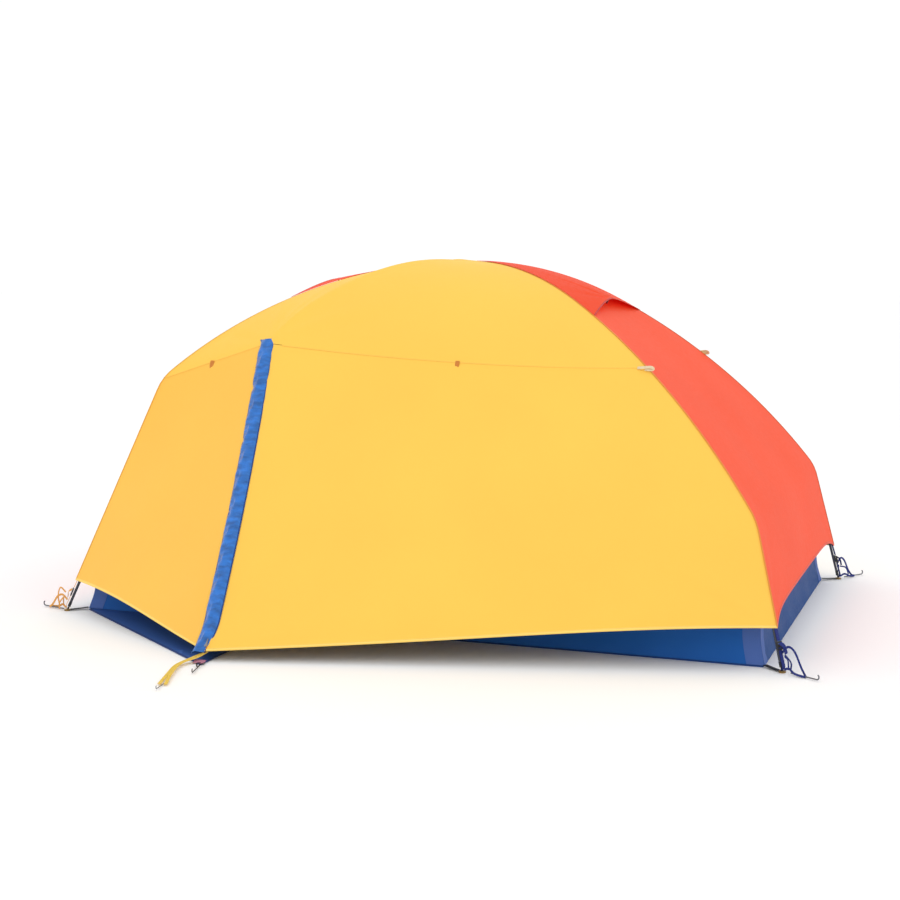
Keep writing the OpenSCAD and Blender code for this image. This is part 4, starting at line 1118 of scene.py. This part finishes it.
def inner_door_outline(grow):
    """Square at the hinge, and round at the top of the free side."""
    left = DOOR_HINGE_X - DOOR_SIZE[0] - grow
    right = DOOR_HINGE_X + grow
    low = DOOR_SILL - grow
    high = DOOR_SILL + DOOR_SIZE[1] + grow
    r = DOOR_ROUND + grow
    arc = [(left + r - r * math.sin(a), high - r + r * math.cos(a))
           for a in np.linspace(0, math.pi / 2, 25)]
    return [(right, low), (right, high), *arc, (left, low)]


def inside(point, polygon):
    x, y = point
    found = False
    for (x1, y1), (x2, y2) in zip(polygon, polygon[1:] + polygon[:1]):
        if (y1 > y) != (y2 > y) and x < (x2 - x1) * (y - y1) / (y2 - y1) + x1:
            found = not found
    return found


def fine_outline(polygon, spacing):
    """The polygon with points added so that none are further apart than the spacing."""
    out = []
    for a, b in zip(polygon, polygon[1:] + polygon[:1]):
        steps = max(1, math.ceil(math.dist(a, b) / spacing))
        out += [(lerp(a[0], b[0], i / steps), lerp(a[1], b[1], i / steps)) for i in range(steps)]
    return out


def cut_cloth(outline, holes, spacing):
    """Points and triangles of a flat cut with holes, and how far each point is from the cut's edges."""
    loops = [fine_outline(loop, spacing) for loop in [outline, *holes]]
    edge_points = [p for loop in loops for p in loop]
    edges = []
    for loop in loops:
        start = len(edges)
        edges += [(start + i, start + (i + 1) % len(loop)) for i in range(len(loop))]
    xs = [p[0] for p in outline]
    ys = [p[1] for p in outline]
    edge_array = np.array(edge_points)
    points = list(edge_points)
    for i, y in enumerate(np.arange(min(ys) + spacing / 2, max(ys), spacing * 0.87)):
        for x in np.arange(min(xs) + spacing / 2 * (i % 2), max(xs), spacing):
            near = np.hypot(edge_array[:, 0] - x, edge_array[:, 1] - y).min()
            if near > spacing * 0.55 and inside((x, y), outline):
                if not any(inside((x, y), hole) for hole in holes):
                    points.append((x, y))
    made = geometry.delaunay_2d_cdt([Vector(p) for p in points], edges, [], 0, 1e-6)
    flat = np.array([tuple(p) for p in made[0]])
    faces = []
    for f in made[2]:
        middle = tuple(flat[list(f)].mean(axis=0))
        if inside(middle, outline) and not any(inside(middle, hole) for hole in holes):
            faces.append(tuple(f))
    away = np.hypot(flat[:, 0, None] - edge_array[:, 0], flat[:, 1, None] - edge_array[:, 1]).min(axis=1)
    return flat, faces, away


def flat_cloth(name, outline, holes, place, material, thickness=0.0006, ripple=0.003, spacing=0.03,
               upper=None, limits=None):
    """A closed sheet of a flat cut, put in place by place(x, y, out), with shallow waves inside it.
    upper is (height, material): the cloth above that height has the other material. limits(flat) is
    how far in and out the waves may reach."""
    flat, faces, away = cut_cloth(outline, holes, spacing)
    fade = np.clip(away / 0.10, 0, 1)
    waves = (np.sin(flat[:, 0] * 11 + 0.7 * flat[:, 1]) + np.sin(flat[:, 1] * 17 + 2.1)
             + np.sin((flat[:, 0] + flat[:, 1]) * 7.3 + 1.3)) / 3
    out = ripple * fade * waves
    if limits is not None:
        out = np.clip(out, *limits(flat))
    outer = [place(x, y, o) for (x, y), o in zip(flat, out)]
    inner = [place(x, y, o - thickness) for (x, y), o in zip(flat, out)]
    count = len(flat)
    directed = dict.fromkeys(edge for f in faces for edge in zip(f, f[1:] + f[:1]))
    rim = [(a, b) for a, b in directed if (b, a) not in directed]
    walls = [(b, a, a + count, b + count) for a, b in rim]
    back = [tuple(i + count for i in f[::-1]) for f in faces]
    uv = np.concatenate([flat, flat])
    piece = new_object(name, outer + inner, [*faces, *back, *walls], uv, material)
    if upper is not None:
        piece.data.materials.append(upper[1])
        for polygon in piece.data.polygons:
            height = sum(uv[i][1] for i in polygon.vertices) / len(polygon.vertices)
            polygon.material_index = int(height > upper[0])
    area = sum(abs((flat[b][0] - flat[a][0]) * (flat[c][1] - flat[a][1])
                   - (flat[c][0] - flat[a][0]) * (flat[b][1] - flat[a][1])) / 2
               for f in faces for a, b, c in [f[:3]])
    size = flat.max(axis=0) - flat.min(axis=0)
    return piece, (float(size[0]), float(size[1])), float(area)


def turned(place, turn):
    """A placing function for the front, or its mirror image for the back."""
    return lambda x, y, o: turn(place(x, y, o))


def outline_band(name, outline, place, width, material, body, slot, offset=0.0008):
    """A binding sewn along a cut's outline, on its outer face."""
    fine = fine_outline(outline, 0.03)
    fine.append(fine[0])
    points = [place(x, y, offset) for x, y in fine]
    out = unit(place(0, 0, 1) - place(0, 0, 0))
    enlist(strap(name, points, out, width, 0.0010, material), slot, body)


def door_walls():
    """The long walls with their openings, and the inner doors. Each edge has half of the door's zip."""
    wall = [(-TUB_TOP_X, 0), (TUB_TOP_X, 0), (FOOT_BEND[0], up_wall(FOOT_BEND[1])),
            (FOOT_SHOULDER[0], up_wall(FOOT_SHOULDER[1])), (HEAD_ROOF_X, up_wall(BROW_LINE)),
            (HEAD_SHOULDER[0], up_wall(HEAD_SHOULDER[1]))]
    for side, _, turn in SIDES:
        place = turned(on_wall, turn)
        body = f"{side}_inner_door"
        piece, size, area = flat_cloth(f"canopy_{side}_cloth", wall, [inner_door_outline(DOOR_PLAY)],
                                       place, canopy_pale, upper=(NET_FROM, canopy_net))
        enlist(piece, "canopy_pale", "tent", f"canopy_{side}_wall")
        outline_band(f"canopy_{side}_door_zip", inner_door_outline(DOOR_PLAY + ZIP_INSET), place,
                     ZIP_BAND, pale_binding, "tent", "canopy_pale")
        door, size, area = flat_cloth(f"{side}_inner_door_cloth", inner_door_outline(0), [], place,
                                      canopy_pale, ripple=0.002, upper=(NET_FROM, canopy_net))
        enlist(door, "canopy_pale", body, body)
        outline_band(f"{side}_inner_door_zip", inner_door_outline(-ZIP_INSET), place,
                     ZIP_BAND, pale_binding, body, "canopy_pale")


def quad_grid(a, b, c, d, rows, cols):
    """A flat patch: a to b along its first row, d to c along its last."""
    return coons(line(a, b, cols), line(d, c, cols), line(a, d, rows), line(b, c, rows))


def end_walls():
    """The inner tent's head wall, and its foot wall with a bend in it."""
    tub = {end: vec(end * TUB_TOP_X, TUB_TOP_Y, TUB_HEIGHT) for end in (-1, 1)}
    head = vec(HEAD_SHOULDER[0], wall_y(HEAD_SHOULDER[1]), HEAD_SHOULDER[1])
    bend = vec(FOOT_BEND[0], wall_y(FOOT_BEND[1]), FOOT_BEND[1])
    shoulder = vec(FOOT_SHOULDER[0], WALL_TOP_Y, FOOT_SHOULDER[1])
    head_wall = quad_grid(head, flip_y(head), flip_y(tub[-1]), tub[-1], 40, 60)
    low = quad_grid(bend, flip_y(bend), flip_y(tub[1]), tub[1], 20, 60)
    high = quad_grid(shoulder, flip_y(shoulder), flip_y(bend), bend, 30, 60)
    foot_wall = np.concatenate([high, low[1:]])
    for word, grid in (("head", head_wall), ("foot", foot_wall)):
        grid = soft_ripple(grid, 0.002, 0.4, 80 + len(word))
        piece = cloth(f"canopy_{word}_cloth", grid, canopy_pale)
        enlist(piece, "canopy_pale", "tent", f"canopy_{word}_wall")
        declare_grid(grid)
    roof_loop(head, shoulder)


def roof_loop(head, shoulder):
    """The canopy's roof: rings of netting from the wall tops in to the flat crown."""
    edge = vec(HEAD_ROOF_X, WALL_TOP_Y, BROW_LINE)
    base = [flip_y(head), flip_y(edge), flip_y(shoulder), shoulder, edge, head, flip_y(head)]
    top = [vec(x * CROWN_FLAT[0], y * CROWN_FLAT[1], CANOPY_TOP)
           for x, y in ((-1, -1), (-0.9, -1), (1, -1), (1, 1), (-0.9, 1), (-1, 1), (-1, -1))]
    counts = (8, 40, 24, 40, 8, 24)
    loops = []
    for corners in (base, top):
        loop = [line(a, b, n + 1)[:-1] for a, b, n in zip(corners, corners[1:], counts)]
        loops.append(np.concatenate([*loop, [corners[0]]]))
    centre = vec(0, 0, CANOPY_TOP)
    slopes = [lerp(*loops, t) for t in np.linspace(0, 1, 24)]
    crown = [lerp(loops[1], centre, t) for t in (0.35, 0.7, 0.96)]
    grid = np.array(slopes + crown)
    piece = cloth("canopy_roof_cloth", grid, canopy_net)
    enlist(piece, "canopy_pale", "tent", "canopy_roof")
    head_slope = math.dist(HEAD_SHOULDER, (-CROWN_FLAT[0], CANOPY_TOP))
    foot_slope = math.dist(FOOT_SHOULDER, (CROWN_FLAT[0], CANOPY_TOP))
    side_slope = math.dist((WALL_TOP_Y, BROW_LINE), (CROWN_FLAT[1], CANOPY_TOP))
    size = (head_slope + 2 * CROWN_FLAT[0] + foot_slope, 2 * (side_slope + CROWN_FLAT[1]))
    declare_grid(grid, size)


def tub():
    """The four walls of the floor's tub, each with a bound top and a patch at each upright edge."""
    signs = ((-1, -1), (1, -1), (1, 1), (-1, 1))
    low = [vec(x * FLOOR_X, y * FLOOR_Y, TUB_FOOT) for x, y in signs]
    high = [vec(x * TUB_TOP_X, y * TUB_TOP_Y, TUB_HEIGHT) for x, y in signs]
    bow = TUB_BOW * np.sin(math.pi * np.linspace(0, 1, TUB_ROWS))[:, None]
    for k, word in enumerate(("front", "foot", "back", "head")):
        a, b = k, (k + 1) % 4
        # The end walls take the darker blue, which is painted shade.
        cols, material = (80, tub_end_blue) if k % 2 else (130, tub_blue)
        grid = quad_grid(high[a], high[b], low[b], low[a], TUB_ROWS, cols)
        grid[..., 0] *= 1 - bow / FLOOR_X
        grid[..., 1] *= 1 - bow / FLOOR_Y
        grid = soft_ripple(grid, 0.0022, 0.16, 90 + k)
        for corner in (low[a], low[b]):
            grid = creases(grid, corner, 0.16, 10, 0.002, 95 + k)
        piece = enlist(cloth(f"tub_{word}_cloth", grid, material), "tub_blue", "tent", "tub_walls")
        declare_grid(grid)
        hem(f"tub_{word}_seam", grid, 0, blue_binding, "tent", "tub_blue", width=0.010)
        n = normals(grid)
        for corner, edge in (("first", slice(0, PATCH_COLS)), ("last", slice(-PATCH_COLS, None))):
            patch = grid[:, edge] + 0.0008 * n[:, edge]
            enlist(cloth(f"tub_{word}_{corner}_patch", patch, purple_patch, 0.0006, n[:, edge]),
                   "tub_blue", "tent")


GROUND_POINT = (-0.403, -1.164)    # tip of the groundsheet under the front vestibule
GROUND_END = 1.092
GROUND_SIDE = 0.652
POINT_FOOT_X = GROUND_POINT[0] + 0.003
EDGE_TOWARDS = vec(-0.5, -GROUND_SIDE, 0)    # the point's bindings lie on this side of its edges


def ground_place(base):
    return lambda x, y, out: vec(x, y, base + out)


def under_floor(flat):
    """Flat under the tub, and free to ripple upwards in the vestibules."""
    free = np.clip((abs(flat[:, 1]) - 0.70) / 0.10, 0, 1)
    return np.full(len(flat), -0.0002), 0.0002 + 0.0045 * free


def ground_cloths():
    """The groundsheet, with a point under each vestibule, and the inner tent's floor on it."""
    half = [(-GROUND_END, -GROUND_SIDE), GROUND_POINT, (POINT_FOOT_X, -GROUND_SIDE),
            (GROUND_END, -GROUND_SIDE)]
    outline = half + [(x, -y) for x, y in half[::-1]]
    piece, size, area = flat_cloth("groundsheet_cloth", outline, [], ground_place(0.0012),
                                   ground_navy, 0.0006, 0.009, 0.035, limits=under_floor)
    enlist(piece, "navy_fabric", "tent", "groundsheet")
    corners = [(-FLOOR_X, -FLOOR_Y), (FLOOR_X, -FLOOR_Y), (FLOOR_X, FLOOR_Y), (-FLOOR_X, FLOOR_Y)]
    floor, size, area = flat_cloth("floor_cloth", corners, [], ground_place(0.0029),
                                   ground_navy, 0.0005, 0.003, 0.045,
                                   limits=lambda flat: (-0.0002, 0.0012))
    enlist(floor, "navy_fabric", "tent", "floor")
    point_edges(half[:3])


def point_edges(route):
    """A bound edge along the groundsheet's point, on both sides of the tent."""
    for side, _, turn in SIDES:
        for k, ends in enumerate(zip(route, route[1:])):
            a, b = (vec(x, y, 0.0015) for x, y in ends)
            inward = unit((EDGE_TOWARDS - a) * vec(1, 1, 0)) * 0.004
            trim = strap(f"apron_{side}_edge_{k}", turn(line(a, b, 30) + inward), vec(0, 0, 1),
                         0.009, 0.0009, blue_binding)
            enlist(trim, "navy_fabric", "tent")


POCKET_SIZE = (0.26, 0.17)
POCKET_AT = 0.3            # from the middle of the head wall to each pocket's middle


def pockets():
    """Two stuff pockets of netting low on the inside of the head wall."""
    up = unit(vec(HEAD_SHOULDER[0] + TUB_TOP_X, 0, HEAD_SHOULDER[1] - TUB_HEIGHT))
    inward = vec(up[2], 0, -up[0])
    base = vec(-TUB_TOP_X, 0, TUB_HEIGHT) + 0.040 * up + 0.006 * inward
    half = vec(0, POCKET_SIZE[0] / 2, 0)
    for k, y in enumerate((-POCKET_AT, POCKET_AT)):
        a, b = base + vec(0, y, 0) - half, base + vec(0, y, 0) + half
        grid = quad_grid(a + POCKET_SIZE[1] * up, b + POCKET_SIZE[1] * up, b, a, 20, 30)
        grid = grid + 0.006 * edge_fade(grid.shape[:2], 0.5)[..., None] * inward
        grid[0] += 0.004 * np.sin(np.linspace(0, math.pi, 30))[:, None] * inward
        piece = enlist(cloth(f"pocket_net_{k}", grid, pocket_net), "mesh_dark", "tent", "mesh_pockets")
        declare_grid(grid)
        enlist(strap(f"pocket_edge_{k}", grid[0], inward, 0.012, 0.0012, dark_webbing),
               "webbing_dark", "tent")


door_walls()
end_walls()
tub()
ground_cloths()
pockets()


# ---- Webbing -------------------------------------------------------------------------------------

def web(name, route, out, width, thickness, material, slot, body="tent", nodes=(), count=24):
    """A piece of webbing along a smooth route through given points."""
    piece = strap(name, rounded(route, count), out, width, thickness, material)
    return enlist(piece, slot, body, *nodes)


def corners():
    """Each corner's word, end and side, its webbing and its record slot."""
    for word, end in ENDS:
        material, slot = (orange_webbing, "webbing_yellow") if end < 0 else (navy_webbing, "webbing_navy")
        for side, y, _ in SIDES:
            yield f"{word}_{side}", end, y, material, slot


STRAP_OFF = 0.009          # from a pole's centre line to the strap on it
BUCKLE_AT = 0.45           # share of the strap above its buckle
BUCKLE_HALF = 0.012


def strap_place(end, side, share, off=STRAP_OFF):
    """A point of a corner strap: a share of the way down the pole from the fly's hem to the foot."""
    hem_at = head_hem if end < 0 else foot_hem
    pole = line_of(end)
    return in_corner(pole.at(lerp(hem_at - 0.012, pole.length - 0.016, share), off), end, side)


def corner_webbing():
    """The fly's strap at each corner, above and below its buckle, with its loose tail."""
    for word, end, side, material, slot in corners():
        a = line_of(end).slope(line_of(end).length)
        out = in_corner((math.sin(a), math.cos(a)), end, side)
        low = strap_place(end, side, 1)
        length = np.linalg.norm(low - strap_place(end, side, 0))
        half = BUCKLE_HALF / length
        upper = [strap_place(end, side, 0, 0.0075), strap_place(end, side, (BUCKLE_AT - half) * 0.5, 0.008),
                 strap_place(end, side, BUCKLE_AT - half + 0.04)]
        lower = [strap_place(end, side, BUCKLE_AT + half - 0.04), strap_place(end, side, 0.75, 0.0085),
                 low, vec(end * FOOT_X, side * FOOT_Y, 0.008)]
        web(f"{word}_upper_strap", upper, out, 0.013, 0.0013, material, slot,
            nodes=("fly_corner_straps",))
        web(f"{word}_lower_strap", lower, out, 0.013, 0.0013, material, slot)
        tail_top = strap_place(end, side, BUCKLE_AT, STRAP_OFF + 0.003)
        sideways = unit(np.cross(out, vec(0, 0, 1))) * end * side
        tail = [tail_top, tail_top + 0.012 * out + sideways * 0.004 - vec(0, 0, 0.012),
                tail_top + 0.016 * out + sideways * 0.010 - vec(0, 0, 0.034)]
        web(f"{word}_strap_tail", tail, out, 0.014, 0.0012, material, slot)
        floor_strap(word, end, side)
        stake_loop(word, end, side, material, slot)


def floor_strap(word, end, side):
    """The tape from the tub's corner to the grommet at the pole's foot, and its end beyond it."""
    tub_corner = vec(end * (FLOOR_X + 0.001), side * (FLOOR_Y + 0.001), 0.006)
    foot = vec(end * FOOT_X, side * FOOT_Y, 0.0026)
    beyond = foot + unit((foot - tub_corner) * vec(1, 1, 0)) * 0.008
    route = [tub_corner, lerp(tub_corner, foot, 0.5) - vec(0, 0, 0.0006), foot, beyond]
    web(f"{word}_floor_strap", route, vec(0, 0, 1), 0.016, 0.0012, dark_webbing, "webbing_dark",
        nodes=("floor_corner_straps",))


FRONT_FOOT_TURN = -31      # directions from the pole feet to their pegs, in degrees about Z
BACK_FOOT_TURN = 54
HEAD_TURN = 15


def peg_way(end, side):
    """Direction on the ground from a pole's foot to its peg."""
    if end < 0:
        turn = 180 + side * HEAD_TURN
    else:
        turn = FRONT_FOOT_TURN if side < 0 else BACK_FOOT_TURN
    return vec(math.cos(math.radians(turn)), math.sin(math.radians(turn)), 0)


def stake_loop(word, end, side, material, slot):
    """A loop of narrow tape from the buckle, arching out and down round the peg and back."""
    foot = vec(end * FOOT_X, side * FOOT_Y, 0)
    way = peg_way(end, side)
    across = vec(-way[1], way[0], 0)
    tall = 0.074 if end > 0 else 0.052

    def at(outward, sideways, up):
        return foot + outward * way + sideways * across + vec(0, 0, up)
    route = [at(-0.006, 0.003, tall * 0.72), at(0.014, 0.005, tall), at(0.036, 0.007, tall * 0.84),
             at(0.058, 0.007, tall * 0.34), at(0.074, 0.005, 0.0060), at(0.081, 0.0, 0.0045),
             at(0.074, -0.006, 0.0050), at(0.048, -0.008, 0.0075), at(0.026, -0.005, 0.0165),
             at(0.008, -0.002, 0.0100)]
    web(f"{word}_stake_loop", route, across, 0.0065, 0.0020, material, slot,
        nodes=("stake_loops",), count=90)
    tails = [[at(0.006, 0.0, 0.046), at(0.026, -0.010, 0.040), at(0.034, -0.016, 0.016)],
             [at(0.004, 0.004, 0.050), at(0.016, 0.016, 0.028), at(0.012, 0.022, 0.008)]]
    if end < 0:
        tails.append([at(0.004, 0.0, 0.060), at(0.024, 0.004, 0.074), at(0.034, 0.006, 0.046),
                      at(0.030, 0.004, 0.012)])
    for k, tail in enumerate(tails):
        web(f"{word}_loop_tail_{k}", tail, across + vec(0, 0, 0.3), 0.005, 0.0016, material, slot, count=30)


def guy_loops():
    """Small doubled tapes on the brow seam: two hang down, and one lies over the pole's seam."""
    hanging = [(-0.002, -0.001, 0.004), (-0.003, -0.006, -0.012), (0.000, -0.010, -0.030),
               (0.003, -0.006, -0.012), (0.004, -0.001, 0.004)]
    lying = [(-0.006, -0.006, 0.000), (0.016, -0.008, 0.002), (0.036, -0.007, 0.003),
             (0.040, -0.006, -0.004), (0.016, -0.006, -0.004)]
    spots = (("head", brow_seam(0.13), hanging, 0.007, brown_webbing, ("guy_loops",), 30),
             ("middle", brow_tab, hanging, 0.007, brown_webbing, ("guy_loops",), 30),
             ("foot", brow_seam(0.985), lying, 0.009, cream_webbing, (), 36))
    for side, _, turn in SIDES:
        out = turn(unit(vec(0, -0.85, 0.5)))
        for word, at, route, width, material, nodes, count in spots:
            web(f"guy_{word}_{side}", [turn(at + vec(*q)) for q in route], out, width, 0.0016, material,
                "webbing_brown", nodes=nodes, count=count)


def vestibule_tapes():
    """The yellow tape that holds down each vestibule's tip, and the groundsheet point's thin loop."""
    start = apex + vec(-0.002, 0.012, -0.006)
    point = vec(*GROUND_POINT, 0.003)
    loop = [(-0.005, 0.014, 0), (0.000, -0.016, 0.006), (0.010, -0.034, 0.001), (0.012, -0.014, 0.004),
            (0.006, 0.014, 0)]
    top = line(point + vec(-0.030, 0.030, 0.0036), point + vec(0.004, 0.030, 0.0036), 8)
    patch = np.array([top, top + vec(0.004, -0.026, -0.003)])
    for side, y, turn in SIDES:
        for k, (shift, sag) in enumerate(((-0.006, 0.0), (0.006, 0.004))):
            route = [start + vec(shift * 0.3, 0, 0), apex + vec(-0.022 + shift, -0.020, -0.016),
                     vec(-0.452 + shift, -1.200, 0.0045 + sag), vec(-0.424 + shift, -1.300, 0.0045 + sag),
                     vec(-0.392 + shift * 1.6, -1.392, 0.004)]
            web(f"{side}_tape_{k}", turn(route), vec(0, 0, 1), 0.010, 0.0014, yellow_webbing,
                "webbing_yellow", nodes=("apex_tapes",), count=50)
        enlist(cloth(f"{side}_ground_patch", turn(patch)[:, ::-y], pink_patch, 0.0008),
               "navy_fabric", "tent")
        web(f"{side}_ground_loop", [turn(point + vec(*q)) for q in loop], vec(0, 0, 1), 0.004, 0.0014,
            dark_webbing, "webbing_dark", count=40)


def small_webbing():
    """The tabs on the brow pole, the lantern loop at the crown, and the vent stays."""
    low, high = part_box("brow_sleeve_tabs")
    x, z = (low.x + high.x) / 2, (low.z + high.z) / 2
    for side, y, _ in SIDES:
        near, far = y * (WALL_TOP_Y + 0.003), y * high.y
        web(f"brow_tab_{side}", [vec(x, near, z - 0.002), vec(x, (near + far) / 2, z), vec(x, far, z)],
            vec(0, 0, 1), 0.016, 0.0012, dark_webbing, "webbing_dark", nodes=("brow_sleeve_tabs",))
    low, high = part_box("lantern_loop")
    r = (high.x - low.x) / 2 - 0.0015
    middle = high.z - 0.0025 - r
    ring = [vec(r * math.sin(a), 0, middle + r * math.cos(a)) for a in np.linspace(0.15, 6.13, 14)]
    web("lantern_ring", ring, vec(0, 1, 0), 0.003, 0.0016, yellow_webbing, "webbing_yellow",
        nodes=("lantern_loop",), count=48)
    for word, end in ENDS:
        pivot = vec(*joints[f"{word}_vent_stay_fold"]["pos_m"])
        a = line_of(end).slope(STAY_D)
        out = vec(end * math.sin(a), 0, math.cos(a))
        route = [pivot - q * out for q in (0.001, 0.010, 0.0185)]
        across = vec(end * math.cos(a), 0, -math.sin(a))
        web(f"{word}_stay_tab", route, across, 0.014, 0.0016, dark_webbing, "mesh_dark",
            body=f"{word}_vent_stay", nodes=(f"{word}_vent_stay",), count=10)


corner_webbing()
guy_loops()
vestibule_tapes()
small_webbing()


# ---- Hardware that keeps its CAD shape -----------------------------------------------------------

def dress(node, material, bevel=0.0):
    """A CAD piece keeps its shape and gets its real material, with softened edges where it is moulded."""
    piece = frame["nodes"][node]
    piece.data.materials.clear()
    piece.data.materials.append(material)
    if bevel:
        modifier = piece.modifiers.new("soft edges", "BEVEL")
        modifier.width = bevel
        modifier.segments = 2
        modifier.limit_method = "ANGLE"
        modifier.angle_limit = math.radians(50)
        modifier.harden_normals = True


for node in ("pole_a_tubes", "pole_b_tubes", "brow_pole"):
    dress(node, pole_metal)
for node in ("pole_a_ferrules", "pole_b_ferrules"):
    dress(node, ferrule_metal)
for node in ("pole_a_shock_cord", "pole_b_shock_cord"):
    dress(node, cord_rubber)
for node in ("pole_tips", "brow_pole_tips", "canopy_clips"):
    dress(node, black_plastic)
dress("corner_buckles", black_plastic, 0.0006)
dress("crown_clip", grey_plastic, 0.0010)
dress("foot_grommets", grommet_metal)
dress("pegs", peg_metal)
for side, _, _ in SIDES:
    dress(f"{side}_zip_slider", slider_metal, 0.0008)
    dress(f"{side}_door_coil", zip_plastic)
dress("zip_fixed_coils", zip_plastic)
